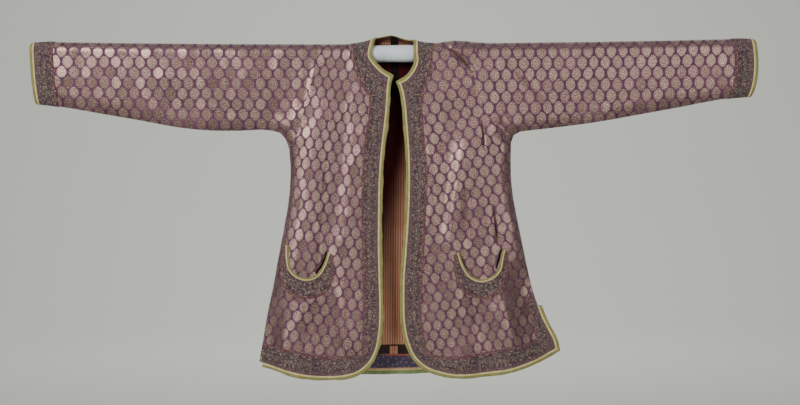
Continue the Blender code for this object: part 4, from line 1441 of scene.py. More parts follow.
def half_ring(x_at: Way, shift: float, fine: bool = True) -> Array:
    """Places down one side of the sleeve from the shoulder to the underside.

    Args:
        x_at: The line's x for a way down.
        shift: How far the line is moved along the sleeve.
        fine: Whether the ring is as fine as the visible mesh, or as plain as the part's.

    Returns:
        The places.
    """
    foot = crossing(x_at, shift)
    over = np.linspace(-ARC, 0, (10 if fine else 6) + 1)
    turns = np.linspace(90, 0, 10) if fine else np.array([90, 60, 32, 0])
    under = foot - FOLD_ROUND * (1 - np.cos(np.radians(turns)))
    shares = np.arange(1, 24) / 24 if fine else np.array([0.36, 0.7])
    rows = np.concatenate([over, under[0] * shares, under])
    return np.stack([np.array([x_at(float(w)) + shift for w in rows]), rows], -1)


def line_x(points: Points) -> Way:
    """The x along a line for a way down, and straight over the shoulder."""
    path = on_cloth(curve(points, 12))
    order = np.argsort(path[:, 1])
    return lambda w: float(np.interp(w, path[order, 1], path[order, 0]))


def ring_points(half: Array, level: float) -> Array:
    """A whole ring round the sleeve at a level, from the shoulder down the front and up the back."""
    x, w = half[:, 0], half[:, 1]
    sides = []
    for side in (-1, 1):
        z = wall(x, w, side)[:, 2]
        point, normal = wall(x, w, side), wall_normal(x, w, side)
        point[[0, -1], 1] = 0
        normal[[0, -1], 1] = 0
        normal /= np.linalg.norm(normal, axis=1)[:, None]
        out = level + relief(x, z, side) * smooth(-ARC, -ARC * 0.4, w)
        sides.append(point + normal * out[:, None])
    return np.concatenate([sides[0], sides[1][-2:0:-1]])


def tube(
    name: str,
    halves: Sequence[Array],
    levels: Pair,
    pattern: Pattern,
    outside: Material,
    inside: Material | None = None,
) -> Object:
    """An open tube of cloth between two levels through rings.

    Args:
        name: The piece's name.
        halves: The rings, each as places from the shoulder to the underside.
        levels: Its inner and outer level.
        pattern: Gives the pattern's coordinates for places; below the shoulder on the back, w is measured on
            over the shoulder.
        outside: The material of its outside and ends.
        inside: The material of its inside, where that differs.

    Returns:
        The new object.
    """
    low, high = levels
    outer = [ring_points(half, high) for half in halves]
    inner = [ring_points(half, low) for half in halves]
    around, many = len(outer[0]), len(halves)
    points = np.concatenate(outer + inner)
    grids = []
    for half in halves:
        back = half[-1:0:-1].copy()
        back[:, 1] = -2 * ARC - back[:, 1]
        grids.append([half, back])
    front_count = len(halves[0])
    maps = np.stack([pattern(np.concatenate([front, back])) for front, back in grids])
    last = maps.shape[1]
    shoulder = pattern(np.stack([half[0] for half in halves]))
    faces, corners, finish_of = [], [], []

    def place(i: int, k: int, on_back: bool) -> Array:
        """The pattern's coordinates of a ring's point, on the front or the back of the seam."""
        if k % around == 0:
            return shoulder[i]
        return maps[i, k] if not on_back else maps[i, min(k + 1, last - 1)]

    size = many * around
    for k in range(around):
        n = (k + 1) % around
        on_back = k >= front_count - 1
        for i in range(many - 1):
            a, b = i * around, (i + 1) * around
            quad = [(i, k), (i, k + 1), (i + 1, k + 1), (i + 1, k)]
            told = [place(row, col, on_back) for row, col in quad]
            faces.append((a + k, a + n, b + n, b + k))
            corners += told
            finish_of.append(0)
            faces.append((a + k + size, b + k + size, b + n + size, a + n + size))
            corners += [told[0], told[3], told[2], told[1]]
            finish_of.append(1 if inside else 0)
        for ring, turned in ((0, False), (many - 1, True)):
            a = ring * around
            face = [a + k, a + k + size, a + n + size, a + n]
            told = [place(ring, k, on_back)] * 2 + [place(ring, k + 1, on_back)] * 2
            faces.append(tuple(face[::-1]) if turned else tuple(face))
            corners += told[::-1] if turned else told
            finish_of.append(0)
    first = points[list(faces[0])]
    centre = np.mean(outer[0], axis=0)
    normal = np.cross(first[1] - first[0], first[2] - first[0])
    if float(normal @ (first.mean(0) - centre)) < 0:
        faces, corners = turned_over(faces, corners)
    finishes = [outside] + ([inside] if inside else [])
    return add_piece(name, points, faces, finishes, np.array(finish_of), {"cloth": np.array(corners)})


class Look(Enum):
    """The record's material slots."""

    MUSLIN = "muslin"
    BROCADE = "brocade"
    BORDER = "border"
    BINDING = "binding"
    PIPING = "piping"
    LINING = "lining"
    BLACK = "black_cloth"
    FACING = "facing"


def stands_for(piece: Object, look: Look, *nodes: str) -> Object:
    """Lets a piece stand for nodes of the part by hiding them."""
    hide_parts(*nodes)
    return piece


@dataclass
class Sleeve:
    """One sleeve with its border, cord and binding at the cuff.

    Args:
        label: left or right.
        out: -1 at the left and 1 at the right.
        armhole: The armhole seam.
        cuff: The finished edge.
        origin: The place of a medallion's middle.
        stretch: The repeat's size against the usual one.
        flat: Width and length of the cut of what shows, all round, in metres; not used.
        area: Its flat area in square metres; not used.
        rings: How many steps its cloth has from the armhole to the border.
    """

    label: str
    out: int
    armhole: Points
    cuff: Points
    origin: Pair
    stretch: Pair
    flat: Pair
    area: float
    rings: int = 116

    def build(self, finishes: Finishes) -> list[Object]:
        """Builds and dresses the sleeve."""
        arm_x, cuff_x = line_x(self.armhole), line_x(self.cuff)
        halves = []
        for i in range(self.rings + 1):
            share = i / self.rings
            shift = (1 - share) * self.out * HALF_GAP - share * self.out * (RIM_WAY + CUFF_BAND)
            halves.append(half_ring(lambda w: arm_x(w) + (cuff_x(w) - arm_x(w)) * share, shift))
        ways = np.linspace(RIM_WAY + CUFF_BAND, RIM_WAY, 9)
        band = [half_ring(cuff_x, -self.out * way) for way in ways]
        end = half_ring(cuff_x, -self.out * CLOTH_WAY)
        body = tube("sleeve_cloth_" + self.label, halves + band[1:] + [end], (-CLOTH, 0), self.grain,
                    finishes.brocade, finishes.lining)
        stands_for(body, Look.BROCADE, "sleeve_" + self.label)

        def beside_cuff(places: Array) -> Array:
            """The border's coordinates: round the cuff, in from its edge and in from its inner line."""
            edge = np.array([cuff_x(float(w)) for w in np.maximum(places[:, 1], -ARC)])
            back = places[:, 1] < -ARC
            edge[back] = [cuff_x(float(w)) for w in -2 * ARC - places[back, 1]]
            way = np.abs(edge - places[:, 0])
            return np.stack([places[:, 1], way, RIM_WAY + CUFF_BAND - way], -1)

        border = tube("border_cloth_cuff_" + self.label, band, (GAP, GAP + TRIM), beside_cuff,
                      finishes.border)
        stands_for(border, Look.BORDER, "border_cuff_" + self.label)
        pieces = [border]
        for kind, look, finish, section in (
            ("binding", Look.BINDING, finishes.binding, binding_section(RIBBON)),
            ("piping", Look.PIPING, finishes.cord, cord_section(RIBBON + 0.1)),
        ):
            rounds = [ring_points(half_ring(cuff_x, -self.out * way), level) for way, level in section]
            rings = np.stack(rounds, 1)
            along = ways_along(np.concatenate([rings, rings[:1]]).mean(1))
            trim = strip(kind + "_cloth_cuff_" + self.label, rings, True, along, finish)
            pieces.append(stands_for(trim, look, kind + "_cuff_" + self.label))
        return [body, *pieces]

    def grain(self, places: Array) -> Array:
        """The flat cloth's coordinates round the sleeve."""
        u = (places[:, 0] - self.origin[0]) / self.stretch[0]
        v = (places[:, 1] - self.origin[1]) / self.stretch[1]
        return np.stack([u, v, np.zeros(len(u))], -1)


def armhole_edge(arm_x: Way, out: int, fine: bool = True) -> Array:
    """The panel's side of an armhole seam."""
    return half_ring(arm_x, -out * HALF_GAP, fine)


def side_line(sign: int, start: float, foot: float) -> Array:
    """The side seam on the cloth from the armhole's foot down to a height, finely divided."""
    line = SIDES[sign]
    kept = line[(line[:, 1] < -start - 6) & (line[:, 1] > foot) & (np.abs(line[:, 0]) < 380)]
    return finer(on_cloth(kept), PANEL_STEP)


@dataclass
class Pocket:
    """A curved pocket mouth with its lip, cord and the border below it.

    Args:
        label: left or right.
        mouth: The mouth's line.
        band: The border's lower edge.
    """

    label: str
    mouth: Points
    band: Points
    path: Array = field(init=False)
    inward: Array = field(init=False)
    ring: Array = field(init=False)
    lower: Array = field(init=False)

    def __post_init__(self) -> None:
        """Works out the mouth and the border's outline on the cloth."""
        self.path = on_cloth(curve(self.mouth, EDGE_STEP))
        along = np.gradient(self.path, axis=0)
        along /= np.linalg.norm(along, axis=1)[:, None]
        self.inward = np.stack([along[:, 1], -along[:, 0]], -1)
        if ((self.path.mean(0) - self.path) * self.inward).sum() < 0:
            self.inward = -self.inward
        foot = shifted(self.path, self.inward, -0.6)
        self.lower = on_cloth(curve(self.band, 7))
        self.ring = np.concatenate([foot, self.lower[::-1]])

    def lines(self) -> list[Array]:
        """Lines that the pocket needs in its front."""
        top = shifted(self.path, self.inward, PIPING + GAP + POCKET_LIP)
        foot = shifted(self.path, self.inward, -0.6)
        return [top, foot, np.concatenate([foot[:1], self.lower, foot[-1:]])]

    def build(self, flat: Array, triangles: Array, finishes: Finishes) -> list[Object]:
        """Builds and dresses the pocket's trims on its front's triangles."""
        inside = in_polygon(flat[triangles].mean(1), self.ring)
        border = shell("pocket_border_cloth_" + self.label, flat, triangles[inside], Side.FRONT,
                       (GAP, GAP + TRIM), beside_border(self.path, self.lower, 14), finishes.border)
        stands_for(border, Look.BORDER, "pocket_border_" + self.label)
        start, end = 3.0, 6.2
        lip = [
            (start, 0.6), (start, 1.2), (start + 1, 1.8), (start + 2, 2.0), (end - 0.6, 1.8), (end, 1.2),
            (end, 0.6),
        ]
        binding = edge_trim("pocket_binding_cloth_" + self.label, self.path, self.inward, lip, Side.FRONT,
                            finishes.binding, 0.5)
        stands_for(binding, Look.BINDING, "pocket_binding_" + self.label)
        cord = edge_trim("pocket_piping_cloth_" + self.label, self.path, self.inward, cord_section(-0.5, 3.3),
                         Side.FRONT, finishes.cord)
        stands_for(cord, Look.PIPING, "pocket_piping_" + self.label)
        return [border, binding, cord]


def shoulder_rows(xs: Sequence[float], rim: Array) -> list[Array]:
    """Lines across the shoulder where the cloth bends over the rod, up to the neck's rim."""
    rows = []
    order = np.argsort(rim[:, 0])
    one_side = (rim[:, 0].min() > 0) != (rim[:, 0].max() < 0)
    for w in np.arange(-ARC + 3.5, 7.0, 3.5):
        if rim[:, 1].min() < -ARC + 1 and one_side:
            limit = np.abs(rim[np.abs(rim[:, 1] - w) < 12, 0]).max(initial=0)
            own = [x for x in xs if abs(x) > limit + 3]
        else:
            edge = np.interp(xs, rim[order, 0], rim[order, 1], left=-100, right=-100)
            own = [x for x, at in zip(xs, edge) if w > at + 3]
        if len(own) > 1:
            rows.append(np.array([(x, w) for x in sorted(own)]))
    return rows


@dataclass
class Front:
    """One front with its border, cord, binding and pocket.

    Args:
        label: left or right.
        out: -1 at the left and 1 at the right.
        armhole: The armhole seam.
        edges: The finished edge's runs, from the neck down.
        border: The border's inner line.
        pocket: Its pocket.
        grain: How its cloth lies.
        flat: Width and length of its cut in metres; not used.
        area: Its flat area in square metres; not used.
        waver: How far the binding's outer edge wanders.
    """

    label: str
    out: int
    armhole: Points
    edges: Sequence[tuple[Points, float]]
    border: Sequence[Points]
    pocket: Pocket
    grain: Grain
    flat: Pair
    area: float
    waver: float = 0.5

    def build(self, finishes: Finishes) -> list[Object]:
        """Builds and dresses the front."""
        out = self.out
        path, inward = edge_path(self.edges, (True, False))
        if out > 0:
            inward = -inward
        inward[0] = [out * abs(inward[0, 0]), 0]
        seam = armhole_edge(line_x(self.armhole), out)
        side = side_line(out, seam[-1, 1], LEFT_FRONT_FOOT if out < 0 else RIGHT_FOOT)
        if out < 0:
            inward[-1] = [0.0, -1.0]
        cloth, rim = shifted(path, inward, CLOTH_WAY), shifted(path, inward, RIM_WAY)
        if out < 0:
            cloth[-1] = on_cloth([LEFT_SIDE[-2]])[0]
            rim[-1] = on_cloth([LEFT_RIM_END])[0]
        corner = on_cloth([self.border[0][0]])[0, 0]
        shoulder_x = np.linspace(seam[0, 0], cloth[0, 0], 26)[1:-1]
        shoulder_x[np.abs(shoulder_x - corner).argmin()] = corner
        shoulder = np.stack([shoulder_x, np.full(len(shoulder_x), -ARC)], -1)
        outline = np.concatenate([cloth, side[::-1], seam[::-1], shoulder])
        inner = [on_cloth(curve(run, PANEL_STEP)) for run in self.border]
        inner[0][0] = [corner, -ARC]
        band = np.concatenate([run[(i > 0):] for i, run in enumerate(inner)])
        lines = [rim, band] + shoulder_rows(shoulder_x, rim)
        closing = rim[-1:]
        if out > 0:
            closing = on_cloth(RIGHT_RIM_END)
            lines.append(np.stack([rim[-1], closing[0]]))
        own = side[:-1] if out < 0 else side
        for inset in SIDE_INSETS:
            lines.append(np.stack([own[1:, 0] - out * inset, own[1:, 1]], -1))
        lines += self.pocket.lines()
        for crease in CREASES:
            if crease.width < SHARP and crease.line[0][0] * out > 0:
                lines += crease.rows()
        flat, triangles = cut(outline, lines, PANEL_STEP)
        body = shell("front_cloth_" + self.label, flat, triangles, Side.FRONT, (-CLOTH, 0), self.grain.flat,
                     finishes.brocade, finishes.lining)
        stands_for(body, Look.BROCADE, "front_" + self.label)
        # the bottoms of gaping creases take the black tape's finish, painted shade in the gap
        for crease in CREASES:
            if crease.shaded_gap and crease.line[0][0] * out > 0:
                line = curve(crease.line, 3.0) * MM
                low, high = line.min(0) - 0.004, line.max(0) + 0.004
                refinish(body, finishes.tape_and_gap_shade, lambda face: face.material_index == 0
                         and low[0] < face.center.x < high[0] and low[1] < face.center.z < high[1]
                         and line_distance(np.array([[face.center.x, face.center.z]]), line)[0]
                         < GAP_SHADE_SHARE * crease.width * MM)
        inside = in_polygon(flat[triangles].mean(1), np.concatenate([rim, closing, band[::-1]]))
        border = shell("border_cloth_front_" + self.label, flat, triangles[inside], Side.FRONT,
                       (GAP, GAP + TRIM), beside_border(path, band), finishes.border)
        pieces = [stands_for(border, Look.BORDER, "border_front_" + self.label)]
        pieces += self.pocket.build(flat, triangles, finishes)
        binding = edge_trim("binding_cloth_front_" + self.label, path, inward, binding_section(RIBBON),
                            Side.FRONT, finishes.binding, self.waver)
        pieces.append(stands_for(binding, Look.BINDING, "binding_front_" + self.label))
        cord = edge_trim("piping_cord_front_" + self.label, path, inward, cord_section(RIBBON + 0.1),
                         Side.FRONT, finishes.cord)
        pieces.append(stands_for(cord, Look.PIPING, "piping_front_" + self.label))
        return [body, *pieces]


@dataclass
class Back:
    """The back with its hem and neck trims and what shows of its inside through the opening.

    Args:
        grain: How its cloth lies.
        flat: Width and length of its cut in metres; not used.
        area: Its flat area in square metres; not used.
        lining_flat: Width and length of the lining's strip that shows; not used.
        lining_area: Its flat area; not used.
    """

    grain: Grain
    flat: Pair
    area: float
    lining_flat: Pair
    lining_area: float

    def build(self, finishes: Finishes) -> list[Object]:
        """Builds and dresses the back."""
        hem, hem_in = edge_path([(BACK_HEM, EDGE_STEP), (BACK_SLIT, EDGE_STEP)])
        neck_line = curve([(x, -ARC * degrees / 90) for x, degrees in BACK_NECK], 2.5)
        neck, neck_in = edge_path([(neck_line, None)], (True, True))
        hem_in = -hem_in
        corner, top = on_cloth([BACK_HEM[0], BACK_LEFT_TOP])
        hem_in[0] = (top - corner) / -(top - corner)[1]
        neck_in[0], neck_in[-1] = [-1.0, 0.0], [1.0, 0.0]
        cloth_way = HEM_BINDING + GAP
        rim_way = cloth_way + PIPING + SEAM
        hem_cloth, neck_cloth = shifted(hem, hem_in, cloth_way), shifted(neck, neck_in, CLOTH_WAY)
        hem_rim, neck_rim = shifted(hem, hem_in, rim_way), shifted(neck, neck_in, RIM_WAY)
        hem_band = far_in(hem, hem_in, rim_way + BACK_BORDER)
        neck_band = far_in(neck, neck_in, RIM_WAY + BACK_BORDER)
        right, left = armhole_edge(line_x(RIGHT_ARMHOLE), 1), armhole_edge(line_x(LEFT_ARMHOLE), -1)
        right_side = side_line(1, right[-1, 1], RIGHT_FOOT)
        left_side = side_line(-1, left[-1, 1], LEFT_BACK_FOOT)
        shoulders = []
        for seam, end, band in ((right, neck_cloth[-1], neck_band[-1]), (left, neck_cloth[0], neck_band[0])):
            row = np.linspace(end[0], seam[0, 0], 24)[1:-1]
            row[np.abs(row - band[0]).argmin()] = band[0]
            shoulders.append(np.stack([row, np.full(len(row), -ARC)], -1))
        outline = np.concatenate([
            neck_cloth, shoulders[0], right, right_side, hem_cloth[::-1], [top], left_side[::-1], left[::-1],
            shoulders[1][::-1],
        ])
        lines = [hem_rim, neck_rim, hem_band, neck_band]
        lines.append(finer(np.array([hem_rim[-1], hem_band[-1]]), PANEL_STEP))
        for row in shoulders:
            lines += shoulder_rows(row[:, 0], neck_rim)
        for side, out in ((right_side, 1), (left_side, -1)):
            for inset in SIDE_INSETS:
                lines.append(np.stack([side[1:, 0] - out * inset, side[1:, 1]], -1))
        wide, near, foot = LINING_HALF, NECK_LINING_HALF, -716.0
        for x in (-wide, wide):
            lines.append(self.straight((x, LINING_TOP), (x, foot)))
        for z in (LINING_FOOT, BAND_TOP, BAND_FOOT, FACING_TOP):
            lines.append(self.straight((-wide, z), (wide, z)))
        for x in (-near, near):
            up = on_cloth([(x, LINING_TOP)])[0, 1]
            end = float(np.interp(x, neck_rim[:, 0], neck_rim[:, 1]))
            lines.append(np.stack([np.full(9, x), np.linspace(up, end, 9)], -1))
            lines.append(self.straight((x, LINING_TOP), (math.copysign(wide, x), LINING_TOP)))
        for x in (-TAPE_HALF, TAPE_HALF):
            end = float(np.interp(x, neck_rim[:, 0], neck_rim[:, 1]))
            rows = np.linspace(end, on_cloth([(x, TAPE_FOOT)])[0, 1], 24)
            lines.append(np.stack([np.full(24, x), rows], -1))
        lines.append(self.straight((-TAPE_HALF, TAPE_FOOT), (TAPE_HALF, TAPE_FOOT)))
        for x in PATCH:
            lines.append(self.straight((x, PATCH_TOP), (x, BAND_FOOT)))
        lines.append(self.straight((PATCH[0], PATCH_TOP), (PATCH[1], PATCH_TOP)))
        flat, triangles = cut(outline, lines, PANEL_STEP)
        body = shell("back_cloth", flat, triangles, Side.BACK, (-CLOTH, 0), self.grain.flat,
                     finishes.brocade, finishes.lining)
        stands_for(body, Look.BROCADE, "back")
        # beside the slits the brocade is turned in
        left_x, left_z = LEFT_TURNED_IN_M
        right_x, right_z = RIGHT_TURNED_IN_M
        refinish(body, finishes.brocade, lambda face: face.material_index == 1 and (
            face.center.x < left_x and face.center.z < left_z
            or face.center.x > right_x and face.center.z < right_z))
        # the lining and its tape reach up to the neck's binding; the lining there is a darker copy, painted
        # shade for the inside of the neck
        refinish(body, finishes.shaded_neck_lining, lambda face: face.material_index == 1
                 and face.center.z > NECK_INSIDE_M[0] and abs(face.center.x) < NECK_INSIDE_M[1])
        refinish(body, finishes.tape_and_gap_shade, lambda face: face.material_index == 3
                 and abs(face.center.x) < TAPE_HALF * MM)
        middle = flat[triangles].mean(1)
        pieces = []
        for name, path, rim, band in (("hem", hem, hem_rim, hem_band), ("neck", neck, neck_rim, neck_band)):
            inside = in_polygon(middle, np.concatenate([rim, band[::-1]]))
            border = shell("border_cloth_back_" + name, flat, triangles[inside], Side.BACK,
                           (GAP, GAP + TRIM), beside_border(path, band), finishes.border)
            pieces.append(stands_for(border, Look.BORDER, "border_back_" + name))
        pieces += self.inside(flat, triangles, hem_rim, neck_rim, finishes)
        for name, path, inward, width, wide, ribbon in (
            ("hem", hem, hem_in, HEM_BINDING, PIPING, finishes.hem_binding),
            ("neck", neck, neck_in, RIBBON, CORD, finishes.binding),
        ):
            section = binding_section(width)
            binding = edge_trim("binding_cloth_back_" + name, path, inward, section, Side.BACK, ribbon, 0.4)
            around = len(section)
            if name == "hem":
                refinish(binding, finishes.cord, lambda face: face.index % around in BINDING_SEWN)
            else:
                # the binding's inside takes the darker lining copy, painted shade
                refinish(binding, finishes.shaded_neck_lining, lambda face: face.index % around in BINDING_INSIDE)
                refinish(binding, finishes.tape_and_gap_shade, lambda face: face.index % around in BINDING_INSIDE
                         and abs(face.center.x) < TAPE_HALF * MM)
            pieces.append(stands_for(binding, Look.BINDING, "binding_back_" + name))
            cord = edge_trim("piping_cord_back_" + name, path, inward, cord_section(width + 0.1, wide),
                             Side.BACK, finishes.cord)
            pieces.append(stands_for(cord, Look.PIPING, "piping_back_" + name))
        return [body, *pieces]

    def inside(
        self, flat: Array, triangles: Array, hem_rim: Array, neck_rim: Array, finishes: Finishes
    ) -> list[Object]:
        """Builds what shows of the back's inside: lining, black band, printed facing and neck tape."""
        middle = flat[triangles].mean(1)
        x, z = middle[:, 0], -middle[:, 1]
        wide, near = LINING_HALF, NECK_LINING_HALF
        above_hem = -z < np.interp(x, hem_rim[:, 0], hem_rim[:, 1], right=0)
        below_neck = middle[:, 1] > np.interp(x, neck_rim[:, 0], neck_rim[:, 1])
        in_lining = (z < LINING_TOP) & (np.abs(x) < wide) | (np.abs(x) < near) & below_neck
        low, high = -CLOTH - GAP - LINING, -CLOTH - GAP
        pieces = []
        for name, look, finish, chosen, drop in (
            # this lining carries painted shade near its top
            ("lining_back", Look.LINING, finishes.shaded_lining, in_lining & (z > LINING_FOOT), 0),
            ("band_back_hem", Look.BLACK, finishes.black,
             (np.abs(x) < wide) & (z < BAND_TOP) & (z > BAND_FOOT), 0),
            ("facing_back_hem", Look.FACING, finishes.facing,
             (np.abs(x) < wide) & (z < FACING_TOP) & above_hem, 0),
            ("neck_tape", Look.BLACK, finishes.tape_and_gap_shade,
             (np.abs(x) < TAPE_HALF) & below_neck & (z > TAPE_FOOT), GAP + LINING),
        ):
            piece = shell("cloth_" + name if name != "lining_back" else "lining_cloth_back", flat,
                          triangles[chosen], Side.BACK, (low - drop, high - drop), self.plain, finish)
            pieces.append(stands_for(piece, look, name))
        # a patch of the lining lies over the black band
        refinish(pieces[1], finishes.lining, lambda face: PATCH[0] * MM < face.center.x < PATCH[1] * MM
                 and face.center.z < PATCH_TOP * MM)
        return pieces

    @staticmethod
    def plain(places: Array) -> Array:
        """The inside's own coordinates: across and down."""
        return np.stack([places[:, 0], places[:, 1], np.zeros(len(places))], -1)

    @staticmethod
    def straight(a: Pair, b: Pair) -> Array:
        """Places along a straight line, given as x and height."""
        count = max(2, round(math.dist(a, b) / PANEL_STEP) + 1)
        return on_cloth(np.linspace(a, b, count))


@dataclass
class Rod:
    """The padded rod in its muslin cover, with a seam that winds round it.

    Args:
        radius: Its radius.
        half: Half its length.
        pitch: How far the cover's seam travels in one turn.
        around: How many points go round it.
        rounded: Length of its rounded ends.
    """

    radius: float = ROD_RADIUS
    half: float = ROD_HALF
    pitch: float = 66.0
    around: int = 64
    rounded: float = 5.0

    def build(self, finishes: Finishes) -> list[Object]:
        """Builds and dresses the rod."""
        turns = np.arange(self.around) * 2 * math.pi / self.around
        inner = np.linspace(-self.half + self.rounded, self.half - self.rounded, 300)
        # the rounded ends: way out and share of the radius
        out, thin = np.array([(2.2, 0.99), (3.9, 0.97), (4.8, 0.93), (5.0, 0.86)]).T
        ends = self.half - self.rounded + out
        places = np.concatenate([-ends[::-1], inner, ends])
        shrink = np.concatenate([thin[::-1], np.ones(len(inner)), thin])
        rings, coordinates = [], []
        for x, share in zip(places, shrink):
            phase = (turns / (2 * math.pi) + x / self.pitch - 0.0076) % 1.0
            raised = np.exp(-(((phase - 0.5) / 0.008) ** 2)) * 0.5
            seam = raised - 0.25 * np.exp(-(((phase - 0.515) / 0.01) ** 2))
            soft = 0.25 * np.sin(x / 17 + 2 * turns) + 0.2 * np.sin(x / 41 - turns + 1) - 0.35
            radius = self.radius * share + (soft + seam) * (share > 0.95)
            ring = [np.full(self.around, x), radius * np.sin(turns), rod_rise(x) + radius * np.cos(turns)]
            rings.append(np.stack(ring, -1))
        along = places - places[0]
        rod = strip("rod_muslin", np.array(rings), False, along, finishes.muslin)
        stands_for(rod, Look.MUSLIN, "rod", "rod_arm_left", "rod_arm_right")
        return [rod]


# Main creases: each a soft ridge (above 0) or trough (below 0), left front first
CREASES += [
    Crease(((-72, -70), (-64, -150), (-70, -260), (-78, -380)), 4.0, 15, skew=-0.3),
    Crease(((-116, -90), (-118, -180), (-122, -300), (-128, -420)), -5.6, 17),
    Crease(((-150, -40), (-163, -140), (-168, -260), (-182, -400), (-196, -520)), 6.4, 20, skew=-0.35),
    Crease(((-206, -190), (-214, -280), (-232, -400), (-246, -520)), -4.8, 15),
    Crease(((-128, -520), (-118, -600), (-104, -690)), 3.6, 18),
    Crease(((-176, -560), (-192, -630), (-204, -700)), -4.0, 17),
    Crease(((-238, -560), (-252, -640), (-262, -720)), 4.3, 18),
    # left armhole and armpit
    Crease(((-176, -12), (-184, -52), (-194, -100)), 2.2, 8),
    Crease(((-191, -30), (-199, -70), (-212, -120), (-222, -165)), -1.9, 7),
    Crease(((-262, -172), (-246, -196), (-232, -232)), -2.9, 9),
    Crease(((-276, -150), (-248, -165), (-222, -150), (-206, -120)), 1.8, 9),
    Crease(((-252, -140), (-236, -160), (-220, -196)), -1.6, 6),
    Crease(((-286, -120), (-260, -140), (-232, -142)), -1.3, 7),
    # right front
    Crease(((62, -110), (78, -220), (84, -340), (76, -460)), 3.7, 16, skew=0.3),
    Crease(((112, -120), (116, -220), (108, -330), (98, -430)), -3.8, 17),
    Crease(((150, -150), (146, -250), (134, -350), (128, -450)), 4.8, 18, skew=0.3),
    Crease(((196, -156), (199.5, -186), (202.2, -219)), -5.9, 1.9),
    Crease(((222.5, -345), (227, -392), (233, -440)), -5.9, 1.9),
    Crease(((210, -170), (214, -260), (222, -340)), 3.6, 14),
    Crease(((120, -560), (128, -630), (122, -700)), -3.8, 18),
    Crease(((226, -560), (250, -620), (268, -690)), 3.6, 18),
    Crease(((184, -540), (196, -620), (206, -700)), -3.4, 16),
    # open ends of the pocket mouths; the two that gape have painted shade in their bottoms
    Crease(((-155, -450), (-164, -477), (-179, -498)), -6.5, 2.4, shaded_gap=True),
    Crease(((239.5, -446), (234.5, -466), (228, -488)), -6.5, 2, shaded_gap=True),
    Crease(((146, -453), (156, -480), (171, -501)), -3.9, 1.5),
    # right shoulder, armhole and armpit
    Crease(((120, 14), (142, -4), (164, -28), (178, -44)), -3.9, 2.2),
    Crease(((126, 8), (148, -14), (172, -44)), -2.2, 9),
    Crease(((112, 6), (134, -14), (156, -40)), 1.4, 8),
    Crease(((176, -30), (180, -70), (190, -110)), 1.8, 7),
    Crease(((262, -30), (300, -64), (336, -100), (358, -130)), 1.4, 5),
    Crease(((226, 0), (252, -30), (286, -70), (320, -112)), -1.2, 8),
    Crease(((230, -130), (252, -152), (270, -182)), 2.6, 8),
    Crease(((218, -150), (240, -170), (262, -198)), -2.6, 6),
    Crease(((206, -176), (232, -196), (258, -222)), 1.4, 7),
]


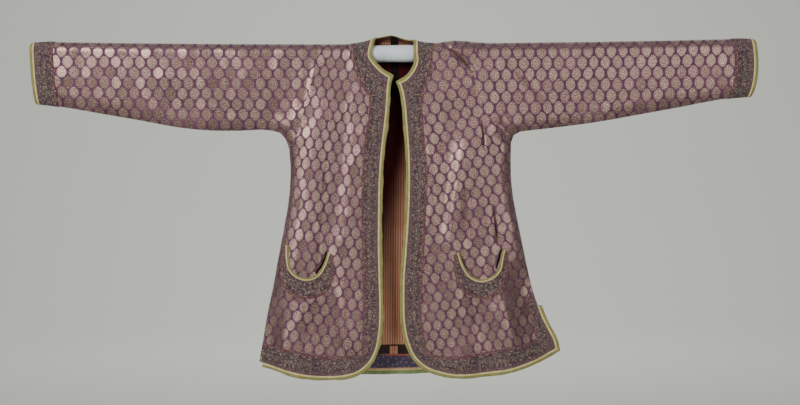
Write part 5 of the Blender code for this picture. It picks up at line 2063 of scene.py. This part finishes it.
@dataclass
class Studio:
    """Floor, lights and camera at the photograph's angle.

    Args:
        width_m: Width of the picture at the coat, in metres.
        lens: The camera's focal length in millimetres.
        sensor: The width of its sensor in millimetres.
        middle: The picture's middle at the coat.
        roll: How far the picture is turned, in radians.
    """

    width_m: float = 1.8232
    lens: float = 60.0
    sensor: float = 36.0
    middle: Pair = (0.0110, -0.3390)
    roll: float = 0.0046

    def build(self) -> None:
        """Adds the floor, the lights and the camera."""
        self.floor()
        self.light("key", (-2.2, -3.3, 1.4), (0.1, 0, -0.35), 1.2, 112.0)
        self.light("fill", (1.5, -3.2, 0.3), (0, 0, -0.4), 1.6, 27.0)
        self.light("wall_wash", (0, 4.7, 3.9), (0, 8.2, -0.9), 4.0, 290.0)
        world = bpy.data.worlds.new("studio")
        bpy.context.scene.world = world
        world.use_nodes = True
        world.node_tree.nodes["Background"].inputs[0].default_value = (0.93, 0.96, 1.0, 1)
        world.node_tree.nodes["Background"].inputs[1].default_value = 0.46
        camera = bpy.data.cameras.new("camera")
        camera.lens = self.lens
        camera.sensor_width = self.sensor
        camera.clip_start, camera.clip_end = 0.05, 60
        eye = bpy.data.objects.new("camera", camera)
        distance = self.lens * self.width_m / self.sensor
        eye.location = (self.middle[0], -distance, self.middle[1])
        level = Euler((math.pi / 2, 0, 0)).to_matrix()
        eye.rotation_euler = (Euler((0, self.roll, 0)).to_matrix() @ level).to_euler()
        bpy.context.scene.collection.objects.link(eye)
        bpy.context.scene.camera = eye

    @staticmethod
    def light(name: str, place: Place, target: Place, size: float, power: float) -> None:
        """Adds a square soft light.

        Args:
            name: Its name.
            place: Where it is, in metres.
            target: Where it faces.
            size: Its side in metres.
            power: Its power in watts.
        """
        lamp = bpy.data.lights.new(name, "AREA")
        lamp.shape, lamp.size, lamp.energy = "SQUARE", size, power
        lamp.color = (1.0, 0.985, 0.96)
        piece = bpy.data.objects.new(name, lamp)
        piece.location = place
        piece.rotation_euler = (Vector(target) - Vector(place)).to_track_quat("-Z", "Y").to_euler()
        piece.visible_camera = False
        bpy.context.scene.collection.objects.link(piece)

    @staticmethod
    def floor() -> None:
        """Adds a pale floor that curves up into a round wall far away."""
        radius, rise, foot, top = 10.0, 3.5, -1.25, 9.0
        profile = [(0.02, foot), (2.0, foot), (4.0, foot), (radius - rise, foot)]
        profile += [
            (radius - rise + rise * math.sin(a), foot + rise * (1 - math.cos(a)))
            for a in np.linspace(0, math.pi / 2, 14)[1:]
        ]
        profile.append((radius, top))
        around = 96
        points, faces = [], []
        for r, z in profile:
            for k in range(around):
                turn = 2 * math.pi * k / around
                points.append((r * math.cos(turn), r * math.sin(turn), z))
        for i in range(len(profile) - 1):
            for k in range(around):
                a, b = i * around, (i + 1) * around
                n = (k + 1) % around
                faces.append((a + k, a + n, b + n, b + k))
        faces.append(tuple(range(around))[::-1])
        mesh = bpy.data.meshes.new("studio_floor")
        mesh.from_pydata(points, [], faces)
        material, tree, shader = new_finish("painted_floor", Roughness=0.9)
        grain = add_node(tree, "TexNoise", {"Scale": 1.3, "Detail": 3.0}, 0)
        colour = add_ramp(tree, grain, [(0.3, "#c3c4bf"), (0.7, "#c8c9c4")])
        tree.links.new(colour, shader.inputs["Base Color"])
        mesh.materials.append(material)
        mesh.shade_smooth()
        piece = bpy.data.objects.new("studio_floor", mesh)
        bpy.context.scene.collection.objects.link(piece)


def coat() -> list[Rod | Sleeve | Back | Front]:
    """The coat's sub-assemblies in the order of their making."""
    return [
        Rod(),
        Sleeve("left", -1, LEFT_ARMHOLE, LEFT_CUFF, (-262.0, 1.0), (1.01, 0.985), (0.40, 0.66), 0.205),
        Sleeve("right", 1, RIGHT_ARMHOLE, RIGHT_CUFF, (253.0, 2.0), (0.98, 1.07), (0.40, 0.64), 0.20),
        Back(Grain(Side.BACK, -320, 350, 0.0), (0.70, 0.78), 0.36, (0.216, 0.70), 0.15),
        Front("left", -1, LEFT_ARMHOLE, [(LEFT_NECK, 3.0), (LEFT_OPENING, EDGE_STEP)], LEFT_BORDER,
              Pocket("left", LEFT_POCKET, LEFT_POCKET_BAND),
              Grain(Side.FRONT, -310, 0, -62.0, 8.5, (-40.0, 100.0), (0.80, 1.0), (0.92, 0.98)),
              (0.34, 0.78), 0.20, 1.0),
        Front("right", 1, RIGHT_ARMHOLE,
              [(RIGHT_NECK, 3.0), (RIGHT_OPENING, EDGE_STEP), (RIGHT_SLIT, EDGE_STEP)], RIGHT_BORDER,
              Pocket("right", RIGHT_POCKET, RIGHT_POCKET_BAND),
              Grain(Side.FRONT, 0, 380, 62.0, -8.5, (40.0, 100.0), (0.99, 0.99), (0.88, 0.94)),
              (0.40, 0.78), 0.22),
    ]


def main() -> None:
    """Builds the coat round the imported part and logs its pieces."""
    logging.basicConfig(level=logging.INFO, format="%(name)s %(message)s")
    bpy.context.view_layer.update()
    finishes = Finishes()
    for part in coat():
        made = part.build(finishes)
        LOG.info("%s: %s", type(part).__name__, ", ".join(piece.name for piece in made))
    Studio().build()


if __name__ == "__main__":
    main()
